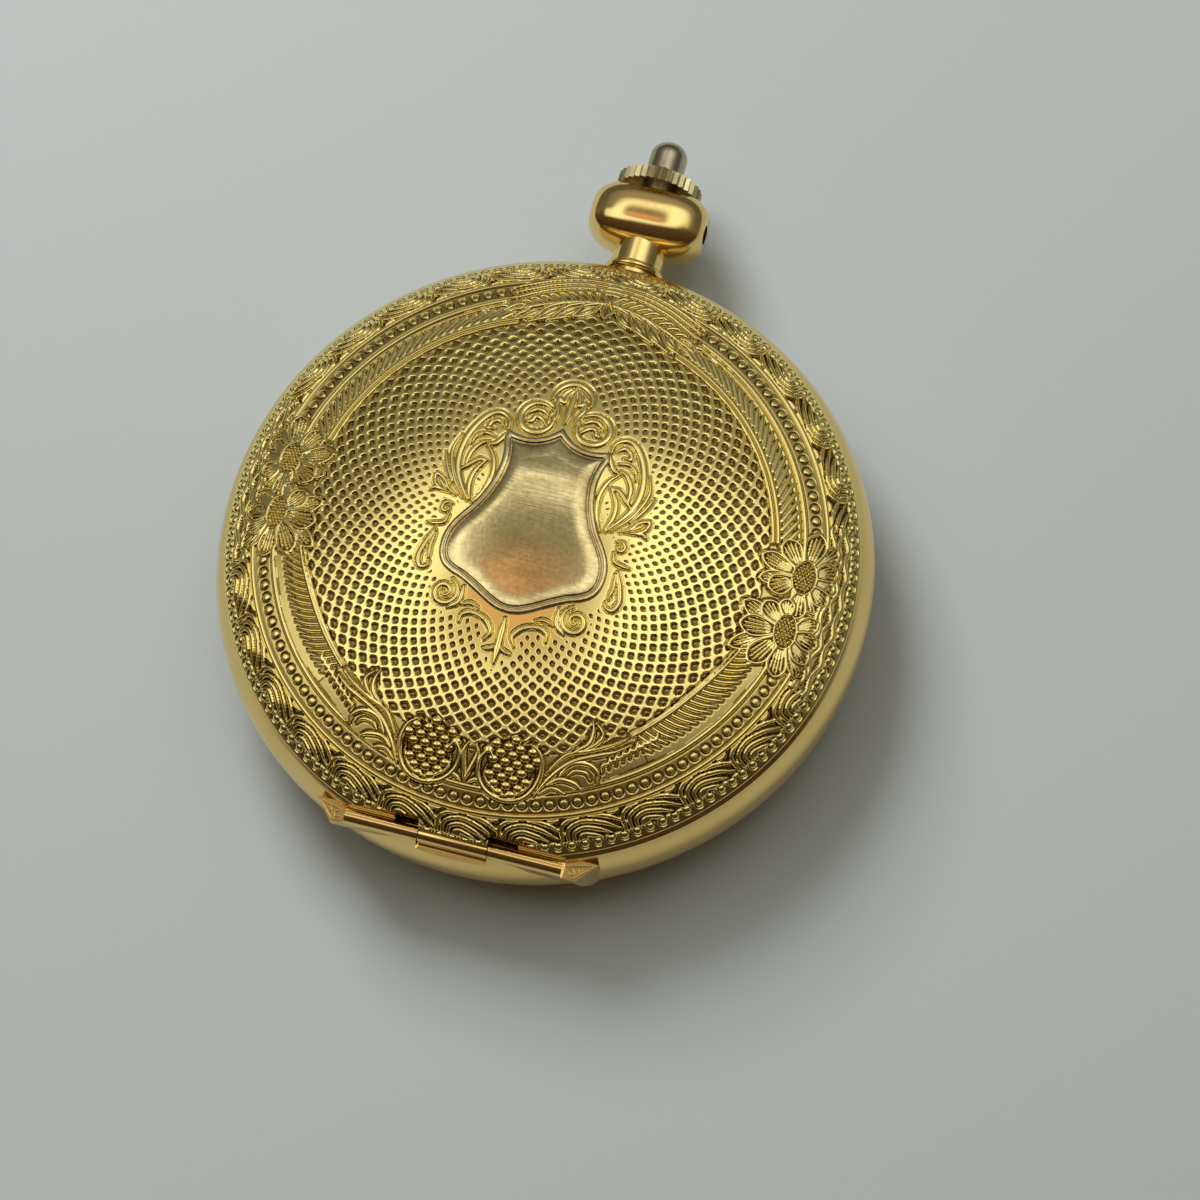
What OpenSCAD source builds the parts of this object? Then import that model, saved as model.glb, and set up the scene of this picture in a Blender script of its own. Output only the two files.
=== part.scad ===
// Full hunter pocket watch, lying on its back with the front lid closed.
// Millimetres. +Z towards the lid, +Y towards the pendant, origin at the centre of the rest face.

/* [Case] */
// Radius of the lid's rim
rim_r = 23.4; // [22:0.1:26]
// How far the band bulges past its top and bottom edges
band_bulge = 0.8; // [0.4:0.1:1.2]
// Height of the back cover's edge above the rest face
back_h = 3.4; // [3.3:0.1:4]
// Height of the band
band_h = 5.05; // [5:0.05:5.6]
// Thickness of the lid and back sheets
sheet = 0.5; // [0.45:0.05:0.55]
// Wall between the band's outer edge and its bore
band_wall = 2; // [1.9:0.1:2.2]
// Radius of the back's dome
back_dome_r = 83; // [78:1:90]
// Corner radius where the dome turns up to the band
back_corner_r = 10; // [9:0.5:11]
// Width of the turned-up part, seen from below
back_corner_w = 3.4; // [3.2:0.1:3.6]

/* [Lid] */
// Radius of the lid's dome
dome_r = 56.5; // [50:0.5:70]
// Corner radius where the dome turns down to the rim
lid_corner_r = 6.8; // [6.5:0.1:7]
// Width of the turned-down part, seen from above
lid_corner_w = 2.85; // [2.8:0.05:3]
// Gap between the closed lid and the band
lid_gap = 0.05; // [0.04:0.01:0.08]
// Thickness of the polished inner sheet
liner_t = 0.25; // [0.2:0.05:0.3]
// Height of the applied shield above the lid
shield_h = 0.45; // [0.3:0.05:0.6]
// Size of the shield against its drawn outline
shield_k = 1; // [0.9:0.05:1.05]

/* [Hinge] */
// Radius of the hinge barrel
barrel_r = 0.62; // [0.58:0.01:0.66]
// Radius of the hinge pin
pin_r = 0.35; // [0.3:0.01:0.38]
// Half of the hinge's length
hinge_half = 8; // [7:0.1:8.6]
// Half of the lid's own knuckle
knuckle_half = 2.55; // [2.2:0.05:3]

/* [Pendant] */
// Height of the pendant's axis above the dial's seat, downwards
pend_drop = 1.3; // [1.25:0.01:1.35]
// Radius of the neck
neck_r = 2; // [1.95:0.01:2.1]
// Radius of the barrel that holds the bow
bulb_r = 2.82; // [2.75:0.01:2.95]
// Half of the barrel's length
bulb_half = 4.35; // [4.2:0.05:4.6]
// Distance from the lid's rim to the barrel's axis
bulb_out = 5.55; // [5.5:0.05:5.7]
// Radius of each bow hole
bow_r = 0.75; // [0.6:0.05:0.8]
// Depth of each bow hole
bow_depth = 1.7; // [1.4:0.05:1.75]

/* [Crown] */
// Radius of the serrated collar
crown_r = 3.25; // [3:0.05:3.4]
// Height of the collar
crown_h = 1.25; // [1.1:0.05:1.3]
// Number of serrations
serrations = 36; // [30:1:44]
// Radius of the post
post_r = 1.43; // [1.4:0.01:1.55]
// Length of the post above the collar
post_len = 3.25; // [2.8:0.05:3.4]
// How far the crown presses in to free the lid
press = 0.5; // [0.45:0.01:0.52]
// How far the crown pulls out to set the hands
pull = 1; // [0.8:0.05:1]

/* [Movement] */
// Radius of the movement
calibre_r = 12.95; // [12.9:0.01:12.98]
// Thickness of the dial
dial_t = 0.35; // [0.3:0.01:0.35]
// Gear module of the motion work
motion_m = 0.12; // [0.115:0.001:0.12]
// Radius of the battery
battery_r = 3.4; // [3.3:0.05:3.4]
// Direction of the hour hand at rest, from 3 o'clock
hour_at = 145; // [0:1:359]
// Direction of the minute hand at rest, from 3 o'clock
minute_at = 30; // [0:1:359]
// Direction of the seconds hand at rest, from 3 o'clock
second_at = 240; // [0:1:359]

/* [Hidden] */
$fn = 72;
e = 0.01;
far = 60;
band_z1 = back_h + band_h;
edge_r = rim_r - 0.1;
case_r = edge_r + band_bulge;
bore_r = edge_r - band_wall;
band_half = band_h / 2;
band_arc = (band_half * band_half + band_bulge * band_bulge) / (2 * band_bulge);

lid_z = band_z1 + lid_gap;
lid_edge_z = lid_z + 0.1;
dome_edge = rim_r - lid_corner_w;
dome_a = asin(dome_edge / dome_r);
corner_x = dome_edge - lid_corner_r * sin(dome_a);
corner_drop = sqrt(lid_corner_r * lid_corner_r - (rim_r - corner_x) * (rim_r - corner_x));
corner_z = lid_edge_z - corner_drop;
dome_z = corner_z + lid_corner_r * cos(dome_a) - dome_r * cos(dome_a);
lid_top = dome_z + dome_r;

back_dome_edge = rim_r - back_corner_w;
back_a = asin(back_dome_edge / back_dome_r);
back_corner_x = back_dome_edge - back_corner_r * sin(back_a);
back_reach = edge_r - back_corner_x;
back_corner_z = back_h + sqrt(back_corner_r * back_corner_r - back_reach * back_reach);
back_dome_z = back_corner_z - back_corner_r * cos(back_a) + back_dome_r * cos(back_a);

flange_z1 = band_z1 - 0.65;
flange_z0 = flange_z1 - 0.6;
dial_top = flange_z0;
dial_z = dial_top - dial_t;
pz = dial_z - pend_drop;
mz = dial_z;
move_z = mz - 2.45;
view_r = bore_r - 2.6;
dial_r = bore_r - 1.7;
seat_r = bore_r - 0.9;
ring_r = bore_r - 1.35;

hinge_y = -(edge_r - 0.78);
hinge_z = band_z1 - 0.23;
hinge_gap = 0.05;
trough_r = barrel_r + 0.06;

strip_ro = bore_r - 0.1;
strip_ri = strip_ro - 0.35;
strip_z0 = move_z + 0.05;
strip_z1 = pz + 1.3;
spring_a = 150;
blade_y = strip_ro + 1;

neck_y0 = bore_r + 1.1;
bulb_y = rim_r + bulb_out;
recess_y = bulb_y + 1.75;
crown_y = recess_y + press + 0.04;
crown_y1 = crown_y + crown_h;
tube_r = 1.35;
tube_bore = 0.8;
tube_y0 = strip_ro + 0.03;
sleeve_in = tube_r + 0.05;
sleeve_out = 1.75;
sleeve_y1 = recess_y - 0.65;
spigot_y = crown_y - 2.05;
shoulder_y = tube_y0 + 1.7;
collar_y = shoulder_y + 0.03;
collar_y1 = collar_y + 0.4;
spring_y0 = collar_y1 + press + 0.03;
spring_len = spigot_y - spring_y0;
lip_r = edge_r - 1;

bz_r = bore_r - 0.15;
glass_r = bore_r - 1.4;
glass_z = flange_z1 + 0.8;
glass_top = glass_z + 2.25;
glass_rise = 1.5;
glass_arc = (glass_r * glass_r + glass_rise * glass_rise) / (2 * glass_rise);

plate_z0 = mz - 0.9;
plate_z1 = mz - 0.4;
third_at = 150;
fifth_at = -30;
rotor_at = -75;
train_d = 2.72;
fifth_d = 3.15;
rotor_d = 2.52;
third_x = train_d * cos(third_at);
third_y = train_d * sin(third_at);
fifth_x = fifth_d * cos(fifth_at);
fifth_y = fifth_d * sin(fifth_at);
rotor_x = fifth_x + rotor_d * cos(rotor_at);
rotor_y = fifth_y + rotor_d * sin(rotor_at);
motion_d = 24 * motion_m;
minute_x = motion_d * cos(60);
minute_y = motion_d * sin(60);
set_d = 25 * motion_m;
set_y = minute_y + sqrt(set_d * set_d - minute_x * minute_x);
hour_m = motion_d / 25;
third_m = train_d / 34;
centre_m = train_d / 36;
fourth_m = fifth_d / 35;
fifth_m = rotor_d / 36;
clutch_y = set_y + 1.35;
groove_y = clutch_y + 2.9;
lever_x = 3.6;
wall_r = calibre_r - 0.65;
battery_at = 215;
battery_d = wall_r - battery_r - 0.36;
battery_x = battery_d * cos(battery_at);
battery_y = battery_d * sin(battery_at);
battery_z = plate_z0 - 2.65;
battery_h = 2.6;
clip_x = (wall_r - 0.85) * cos(250);
clip_y = (wall_r - 0.85) * sin(250);
post_wall = 0.6;
posts = [[-5, 3.6], [5.2, 2.6], [-0.6, -4.3]];
board_r = wall_r - 0.45;
pads = [(wall_r - 1.85) * [cos(170), sin(170)], (wall_r - 2.2) * [cos(114.5), sin(114.5)]];
foot_r = wall_r - 2.18;
foot_at = 20;
clamp_screw_r = calibre_r + 1.65;
leg = wall_r - 7.7;
coil_y = 0.6 - leg;
hour_len = view_r - 8.2;
minute_len = view_r - 3.1;
second_len = view_r - 2.3;

// a ring about +Z between two heights
module ring(ro, ri, z0, z1) {
  rotate_extrude() translate([ri, z0]) square([ro - ri, z1 - z0]);
}

// a solid of revolution about the pendant's axis; the profile's y runs along +Y
module on_pendant() {
  translate([0, 0, pz]) rotate([-90, 0, 0]) children();
}

// a cylinder along +Y on the pendant's axis
module pend_rod(r, y0, y1) {
  translate([0, y0, pz]) rotate([-90, 0, 0]) cylinder(r = r, h = y1 - y0);
}

// a cylinder along +X on the hinge's axis
module hinge_rod(r, x0, x1) {
  translate([x0, hinge_y, hinge_z]) rotate([0, 90, 0]) cylinder(r = r, h = x1 - x0);
}

// a pie slice of the XY plane from angle a0 to a1, up to 90 degrees wide
module slice(a0, a1) {
  polygon([[0, 0], far * [cos(a0), sin(a0)], far * 1.3 * [cos((a0 + a1) / 2), sin((a0 + a1) / 2)],
    far * [cos(a1), sin(a1)]]);
}

// section of the lid's outer form, taken in by o
module lid_zone(o) {
  intersection() {
    union() {
      intersection() {
        translate([0, dome_z]) circle(dome_r - o, $fn = 360);
        polygon([[0, dome_z], [0, dome_z + far * 2],
          [far * 2 * tan(dome_a), dome_z + far * 2]]);
      }
      translate([corner_x, corner_z]) circle(lid_corner_r - o, $fn = 180);
    }
    translate([0, lid_z]) square([rim_r, 20]);
  }
}

// section of the back cover's outer form, taken in by o
module back_zone(o) {
  intersection() {
    union() {
      intersection() {
        translate([0, back_dome_z]) circle(back_dome_r - o, $fn = 360);
        polygon([[0, back_dome_z], [0, back_dome_z - 2 * far],
          [2 * far * tan(back_a), back_dome_z - 2 * far]]);
      }
      translate([back_corner_x, back_corner_z]) circle(back_corner_r - o, $fn = 180);
    }
    translate([0, o > 0 ? o : 0]) square([edge_r, back_h - (o > 0 ? o : 0)]);
  }
}

// flat gear outline with n teeth of module m; w is the tooth's share of the pitch
module gear2d(n, m, w) {
  rt = m * (n / 2 + 0.9);
  rp = m * n / 2;
  rr = m * (n / 2 - 1.15);
  p = 360 / n;
  hr = n < 15 ? p * w / 2 : p * (w / 2 + 0.05);
  polygon([for (i = [0:n - 1]) for (k = [0:5])
    let (r = k == 0 || k == 5 ? rr : (k == 1 || k == 4 ? rp : rt),
      h = k == 0 || k == 5 ? hr : (k == 1 || k == 4 ? p * w / 2 : p * (w / 2 - 0.14)),
      a = i * p + (k < 3 ? -h : h))
    [r * cos(a), r * sin(a)]]);
}

// a gear between two heights, turned by a, with a bore
module gear(n, m, w, z0, z1, a, bore) {
  rotate([0, 0, a]) translate([0, 0, z0]) linear_extrude(z1 - z0) difference() {
    gear2d(n, m, w);
    circle(bore);
  }
}

// four round openings that leave crossings in a wheel
module crossings(r, z0, z1, a) {
  for (i = [0:3]) rotate([0, 0, a + 90 * i]) translate([r * 0.55, 0, z0 - e])
    cylinder(r = r * 0.24, h = z1 - z0 + 2 * e);
}

// slotted cheese-head screw, head up, shank down, at the origin
module screw(head_r, head_h, shank_r, len) {
  difference() {
    union() {
      cylinder(r = head_r, h = head_h);
      translate([0, 0, -len]) cylinder(r = shank_r, h = len + e);
    }
    translate([-head_r, -0.08, head_h * 0.55]) cube([2 * head_r, 0.16, head_h]);
  }
}

// curved spring strip with a jogged finger at angle 90; top is the finger's height, reach its nib
module case_spring(half, out0, out1, top, reach) {
  difference() {
    union() {
      translate([0, 0, strip_z0]) linear_extrude(strip_z1 - strip_z0) intersection() {
        difference() {
          circle(strip_ro);
          circle(strip_ri);
        }
        slice(86, spring_a + 3.5);
      }
      translate([-half, strip_ri + 0.02, strip_z1 - 0.05]) cube([2 * half, 0.28, 0.45]);
      translate([-half, strip_ri + 0.02, strip_z1 + 0.15])
        cube([2 * half, out1 - strip_ri - 0.02, 0.25]);
      translate([-half, out0, strip_z1 + 0.15]) cube([2 * half, out1 - out0, top - strip_z1 - 0.15]);
      translate([0, 0, 0]) rotate([0, 90, 0]) linear_extrude(2 * half, center = true)
        polygon([[-top, out0], [-top, out1], [-top + 0.07, out1 + reach], [-top + 0.17, out1 + reach],
          [-top + 0.17, out0]]);
    }
    rotate([0, 0, spring_a]) translate([strip_ri - 1, 0, pz]) rotate([0, 90, 0])
      cylinder(r = 0.45, h = 3);
  }
}

module case_middle() color([0.85, 0.66, 0.26]) {
  difference() {
    union() {
      rotate_extrude() union() {
        intersection() {
          translate([case_r - band_arc, back_h + band_half]) circle(band_arc, $fn = 180);
          translate([bore_r, back_h]) square([10, band_h]);
        }
        translate([view_r, flange_z0]) square([bore_r - view_r + 0.1, flange_z1 - flange_z0]);
        translate([seat_r, flange_z1 - 0.1]) square([bore_r - seat_r + 0.1, band_z1 - flange_z1 + 0.1]);
      }
      intersection() {
        rotate([90, 0, 90]) linear_extrude(4 * hinge_half, center = true)
          polygon([[-bore_r - 0.3, hinge_z], [hinge_y - barrel_r, hinge_z],
            [hinge_y - barrel_r, hinge_z - 0.7], [hinge_y - 0.35, hinge_z - 1.9],
            [hinge_y + 0.2, hinge_z - 3.1], [-bore_r - 0.3, hinge_z - 3.1]]);
        translate([0, 0, back_h]) linear_extrude(band_h) polygon([[-hinge_half, -rim_r - 1],
          [hinge_half, -rim_r - 1], [hinge_half + 2.9, -bore_r + 0.3], [-hinge_half - 2.9, -bore_r + 0.3]]);
        difference() {
          translate([0, 0, back_h]) cylinder(r = rim_r + 2, h = band_h);
          translate([0, 0, back_h - 1]) cylinder(r = bore_r + 0.2, h = band_h + 2);
        }
      }
      for (s = [-1, 1]) hinge_rod(barrel_r, s > 0 ? knuckle_half + hinge_gap : -hinge_half,
        s > 0 ? hinge_half : -knuckle_half - hinge_gap);
    }
    // groove for the back gasket
    ring(bore_r + 0.45, bore_r - 0.2, back_h - e, back_h + 0.45);
    // hinge pin and the trough under the lid's knuckle
    hinge_rod(pin_r, -hinge_half, hinge_half);
    hinge_rod(trough_r, -knuckle_half - hinge_gap, knuckle_half + hinge_gap);
    translate([-knuckle_half - hinge_gap, hinge_y - 3, hinge_z - 0.4])
      cube([2 * (knuckle_half + hinge_gap), 3, 2]);
    // pendant neck and the crown's tube
    pend_rod(tube_r + 0.1, bore_r - 0.5, neck_y0 + e);
    pend_rod(neck_r, neck_y0, case_r + 1);
    pend_rod(neck_r + 0.5, edge_r - 0.3, case_r + 1);
    // slot for the catch's hook
    translate([-1.2, ring_r, strip_z1 + 0.05]) cube([2.7, neck_y0 - ring_r, 0.45]);
    translate([-1.2, bz_r + 0.02, strip_z1 + 0.4]) cube([2.7, neck_y0 - bz_r - 0.02, 3]);
    // slot for the lift spring's finger
    translate([-1.1, -strip_ro - 0.8, strip_z1 + 0.05]) cube([2.2, 1.3, 0.45]);
    translate([-1.1, -strip_ro - 0.8, strip_z1 + 0.4]) cube([2.2, strip_ro + 0.8 - bz_r - 0.02, 3]);
    // spring screws
    for (a = [spring_a, -spring_a]) rotate([0, 0, a]) translate([strip_ro, 0, pz]) rotate([0, 90, 0])
      cylinder(r = 0.4, h = 1.5);
  }
}

module pendant_neck() color([0.86, 0.67, 0.27]) {
  on_pendant() rotate_extrude() difference() {
    union() {
      translate([sleeve_out, neck_y0]) square([neck_r - sleeve_out, bulb_y - 1 - neck_y0]);
      translate([sleeve_out, edge_r - 0.3]) square([neck_r + 0.1 - sleeve_out, 0.7]);
      translate([neck_r, edge_r + 0.05]) circle(0.35);
      translate([neck_r - 0.05, edge_r + 1.2]) circle(0.35);
    }
    translate([0, neck_y0 - 1]) square([sleeve_out, 10]);
  }
}

module pendant_bulb() color([0.86, 0.67, 0.27]) {
  cr = 0.9;
  difference() {
    translate([0, bulb_y, pz]) rotate([0, 90, 0]) rotate_extrude() union() {
      translate([0, -bulb_half]) square([bulb_r - cr, 2 * bulb_half]);
      translate([0, cr - bulb_half]) square([bulb_r, 2 * (bulb_half - cr)]);
      for (s = [-1, 1]) translate([bulb_r - cr, s * (bulb_half - cr)]) circle(cr);
    }
    pend_rod(neck_r, bulb_y - 4, bulb_y - 1);
    pend_rod(sleeve_out, bulb_y - 2, sleeve_y1);
    pend_rod(sleeve_in, bulb_y - 2, bulb_y + 4);
    pend_rod(crown_r + 0.12, recess_y, bulb_y + 4);
    for (s = [-1, 1]) translate([s * (bulb_half - bow_depth), bulb_y, pz]) rotate([0, s * 90, 0])
      cylinder(r = bow_r, h = bow_depth + 1);
  }
}

module crown_sleeve() color([0.7, 0.7, 0.72]) {
  on_pendant() rotate_extrude() translate([sleeve_in, neck_y0])
    square([sleeve_out - sleeve_in, sleeve_y1 - neck_y0]);
}

module back_cover() color([0.86, 0.67, 0.27]) {
  skirt_r = bore_r - 0.05;
  difference() {
    rotate_extrude() union() {
      difference() {
        back_zone(0);
        back_zone(sheet);
      }
      intersection() {
        back_zone(0);
        translate([skirt_r - 0.4, 0]) square([10, back_h]);
      }
      translate([skirt_r - 0.4, back_h - 0.1]) square([0.4, move_z - back_h + 0.1]);
    }
    pend_rod(tube_r + 0.15, bore_r - 1, bore_r + 0.1);
    pend_rod(neck_r + 0.4, edge_r - 1, case_r + 1);
  }
}

module back_gasket() color([0.1, 0.1, 0.1]) {
  ring(bore_r + 0.43, bore_r - 0.03, back_h, back_h + 0.43);
}

module bezel() color([0.88, 0.7, 0.3]) {
  sr = seat_r - 0.05;
  rotate_extrude() polygon([[sr, flange_z1 + 0.05], [sr, band_z1], [bz_r, band_z1], [bz_r, band_z1 + 0.55],
    [bz_r - 0.08, band_z1 + 0.83], [bz_r - 0.28, band_z1 + 1.05], [bz_r - 0.55, band_z1 + 1.16],
    [bz_r - 1.25, band_z1 + 1.16], [bz_r - 1.5, band_z1 + 0.95], [glass_r + 0.25, band_z1 + 0.95],
    [glass_r + 0.25, band_z1 + 0.15], [glass_r + 0.08, band_z1 + 0.15], [glass_r + 0.08, flange_z1 + 0.05]]);
}

module crystal() color([0.85, 0.93, 0.95, 0.35]) {
  oz = band_z1 + 0.9 + glass_rise - glass_arc;
  rotate_extrude() intersection() {
    difference() {
      translate([0, oz]) circle(glass_arc, $fn = 360);
      translate([0, oz]) circle(glass_arc - 0.7, $fn = 360);
    }
    translate([0, band_z1]) square([glass_r, 6]);
  }
}

module crystal_gasket() color([0.92, 0.92, 0.9]) {
  ring(glass_r + 0.25, glass_r, band_z1 + 0.2, band_z1 + 0.95);
}

module rehaut_ring() color([0.9, 0.88, 0.8]) {
  rotate_extrude() polygon([[view_r + 0.05, flange_z1], [glass_r - 0.1, flange_z1],
    [glass_r - 0.1, flange_z1 + 0.8], [view_r + 0.6, flange_z1 + 0.8]]);
}

module dial() color([0.96, 0.95, 0.9]) {
  difference() {
    union() {
      translate([0, 0, dial_z]) cylinder(r = dial_r, h = dial_t);
      for (a = [foot_at, foot_at + 180]) rotate([0, 0, a]) translate([foot_r, 0, mz - 0.75])
        cylinder(r = 0.35, h = 0.8);
    }
    translate([0, 0, dial_z - e]) cylinder(r = 0.95, h = dial_t + 2 * e);
  }
}

module movement_ring() color([0.85, 0.85, 0.83]) {
  difference() {
    union() {
      ring(ring_r, calibre_r + 0.03, move_z, mz);
      for (a = [20, -20, 180]) rotate([0, 0, a]) intersection() {
        ring(bore_r - 0.02, ring_r - 0.2, move_z, mz);
        translate([ring_r - 1, -1.5, 0]) cube([5, 3, 20]);
      }
    }
    pend_rod(0.85, calibre_r - 1, bore_r);
    for (a = [40, 220]) rotate([0, 0, a]) translate([clamp_screw_r, 0, move_z - e])
      cylinder(r = 0.35, h = 1.5);
  }
}

module hinge_pin() color([0.7, 0.7, 0.72]) hinge_rod(pin_r, -hinge_half, hinge_half);

module lid_lift_spring() color([0.62, 0.65, 0.7]) {
  mirror([0, 1, 0]) case_spring(1, strip_ro + 0.4, strip_ro + 0.65, band_z1 - 0.02, 0);
}

module catch_spring() color([0.62, 0.65, 0.7]) {
  difference() {
    case_spring(1.1, blade_y - 0.25, blade_y, lid_z + 0.65, lip_r - 0.03 - blade_y);
    translate([-1.25, strip_ri - 1, pz - 0.78]) cube([2.1, 2, 1.56]);
  }
}

module spring_screws() color([0.5, 0.55, 0.65]) {
  for (a = [spring_a, -spring_a]) rotate([0, 0, a]) translate([strip_ri - 0.06, 0, pz])
    rotate([0, -90, 0]) screw(0.75, 0.35, 0.4, 1.7);
}

module front_lid() color([0.87, 0.69, 0.28]) {
  difference() {
    union() {
      rotate_extrude() union() {
        difference() {
          lid_zone(0);
          lid_zone(sheet);
        }
        intersection() {
          lid_zone(0);
          translate([lip_r, lid_z]) square([5, 0.43]);
        }
      }
      intersection() {
        hinge_rod(barrel_r, -knuckle_half, knuckle_half);
        translate([-10, hinge_y - 2, 0]) cube([20, 4, 30]);
      }
    }
    // pocket above the lip for the catch's nib
    intersection() {
      ring(lip_r + 0.4, lip_r - 1, lid_z + 0.43, lid_z + 0.7);
      translate([-2.2, 10, 0]) cube([4.4, 30, 30]);
    }
    // cut for the case's knuckles
    for (s = [-1, 1]) translate([s > 0 ? knuckle_half : -hinge_half - 0.15, hinge_y - 4, 0])
      cube([hinge_half + 0.15 - knuckle_half, 4 + barrel_r + 0.07, 30]);
    difference() {
      translate([-knuckle_half - 1, hinge_y - 4, 0]) cube([2 * knuckle_half + 2, 4, 30]);
      hinge_rod(barrel_r, -knuckle_half, knuckle_half);
    }
    hinge_rod(pin_r + 0.03, -hinge_half, hinge_half);
  }
}

module lid_liner() color([0.9, 0.74, 0.34]) {
  rotate_extrude() intersection() {
    difference() {
      lid_zone(sheet);
      lid_zone(sheet + liner_t);
    }
    square([dome_edge - 0.25, 40]);
  }
}

module lid_shield() color([0.74, 0.66, 0.45]) {
  half = [[0, 7.6], [0.55, 7.05], [1.3, 6.55], [2.1, 6.3], [2.9, 6.3], [3.7, 6.35], [3.95, 6.0],
    [3.75, 5.2], [3.6, 4.2], [3.65, 3.2], [3.85, 2.2], [4.2, 1.2], [4.65, 0.3], [5.2, -0.5],
    [5.7, -1.3], [6.0, -2.1], [6.1, -3], [5.95, -3.9], [5.5, -4.6], [4.8, -5.05], [4, -5.35],
    [3.2, -5.7], [2.4, -6.2], [1.6, -6.7], [0.8, -7.0], [0, -7.1]];
  n = len(half);
  full = concat(half, [for (i = [n - 2:-1:1]) [-half[i][0], half[i][1]]]);
  intersection() {
    linear_extrude(60) scale(shield_k) polygon(full);
    translate([0, 0, dome_z]) difference() {
      sphere(dome_r + shield_h, $fn = 180);
      sphere(dome_r, $fn = 180);
    }
  }
}

module crown() color([0.85, 0.8, 0.62]) {
  on_pendant() difference() {
    union() {
      translate([0, 0, crown_y]) linear_extrude(crown_h - 0.25)
        polygon([for (i = [0:2 * serrations - 1]) let (r = i % 2 == 0 ? crown_r : crown_r - 0.2)
          [r * cos(180 / serrations * i), r * sin(180 / serrations * i)]]);
      rotate_extrude() polygon([[0, crown_y1 - 0.26], [crown_r - 0.22, crown_y1 - 0.26],
        [crown_r - 0.5, crown_y1 - 0.05], [crown_r - 1.1, crown_y1], [0, crown_y1]]);
    }
    translate([0, 0, crown_y - 1]) cylinder(r = tube_r, h = 1.65);
    translate([0, 0, crown_y]) cylinder(r = tube_bore, h = 5);
  }
}

module crown_tube() color([0.68, 0.68, 0.7]) {
  difference() {
    pend_rod(tube_r, tube_y0, crown_y + 0.65);
    pend_rod(tube_bore, shoulder_y, crown_y + 1);
    translate([-0.55, tube_y0 - 1, pz - 0.55]) cube([1.1, 3, 1.1]);
  }
}

module crown_post() color([0.78, 0.78, 0.76]) {
  cr = 1.2;
  top = crown_y1 + post_len;
  on_pendant() rotate_extrude() union() {
    translate([0, spigot_y]) square([tube_bore, crown_y1 - spigot_y + 0.1]);
    translate([0, crown_y1]) square([post_r, post_len - cr]);
    translate([0, crown_y1 + 0.2]) square([post_r - cr, post_len - 0.2]);
    intersection() {
      translate([post_r - cr, top - cr]) circle(cr);
      translate([0, top - cr - 0.1]) square([post_r, cr + 0.2]);
    }
  }
}

module crown_return_spring() color([0.6, 0.6, 0.62]) {
  turns = 7;
  per = 8;
  n = turns * per;
  w = 0.09;
  m = 0.53;
  rise = spring_len - 2 * w - 0.02;
  pts = [for (i = [0:n]) for (k = [0:5])
    let (a = 360 * i / per, c = spring_y0 + w + 0.01 + rise * i / n, b = 60 * k,
      r = m + w * cos(b))
    [r * cos(a), c + w * sin(b), pz - r * sin(a)]];
  side = [for (i = [0:n - 1]) for (k = [0:5]) for (t = [0:1])
    let (p = i * 6 + k, q = i * 6 + (k + 1) % 6)
    t == 0 ? [p, q, q + 6] : [p, q + 6, p + 6]];
  cap0 = [for (k = [1:4]) [0, k + 1, k]];
  cap1 = [for (k = [1:4]) [n * 6, n * 6 + k, n * 6 + k + 1]];
  polyhedron(points = pts, faces = concat(side, cap0, cap1), convexity = 8);
}

module stem() color([0.66, 0.67, 0.7]) {
  difference() {
    union() {
      pend_rod(0.35, clutch_y - 1.9, clutch_y - 0.3);
      translate([-0.35, clutch_y - 0.3, pz - 0.35]) cube([0.7, 2.6, 0.7]);
      pend_rod(0.6, clutch_y + 2.3, tube_y0 - press - 0.1);
      translate([-0.5, tube_y0 - press - 0.2, pz - 0.5]) cube([1, collar_y - tube_y0 + press + 0.3, 1]);
      pend_rod(0.72, collar_y, collar_y1);
      pend_rod(0.3, collar_y, spigot_y - press - 0.2);
    }
    difference() {
      pend_rod(1, groove_y - 0.3, groove_y + 0.3);
      pend_rod(0.35, groove_y - 1, groove_y + 1);
    }
  }
}

module clutch_pinion() color([0.62, 0.63, 0.66]) {
  difference() {
    union() {
      pend_rod(1, clutch_y, clutch_y + 0.9);
      pend_rod(0.62, clutch_y + 0.8, clutch_y + 1.4);
      pend_rod(1, clutch_y + 1.3, clutch_y + 1.9);
      for (i = [0:11]) translate([0, clutch_y - 0.2, pz]) rotate([0, 30 * i + 15, 0])
        translate([0.72, 0, -0.09]) cube([0.26, 0.3, 0.18]);
    }
    translate([-0.38, clutch_y - 1, pz - 0.38]) cube([0.76, 4, 0.76]);
  }
}

module setting_wheel() color([0.75, 0.62, 0.3]) {
  sa = atan2(set_y - minute_y, -minute_x);
  tooth = 65 - sa - 10 * round((65 - sa) / 10);
  translate([0, set_y, 0]) gear(14, motion_m, 0.42, plate_z1 + 0.05, plate_z1 + 0.15,
    sa + 180 - (tooth + 5) * 36 / 14, 0.28);
}

module setting_lever() color([0.6, 0.62, 0.66]) {
  difference() {
    union() {
      translate([-0.35, groove_y - 0.45, plate_z1 + 0.04]) cube([lever_x + 0.35, 0.9, 0.2]);
      translate([lever_x, groove_y, plate_z1 + 0.04]) cylinder(r = 0.7, h = 0.2);
      translate([0, groove_y, pz + 0.42]) cylinder(r = 0.22, h = plate_z1 + 0.14 - pz - 0.42);
    }
    translate([lever_x, groove_y, plate_z1]) cylinder(r = 0.28, h = 1);
  }
}

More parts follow.
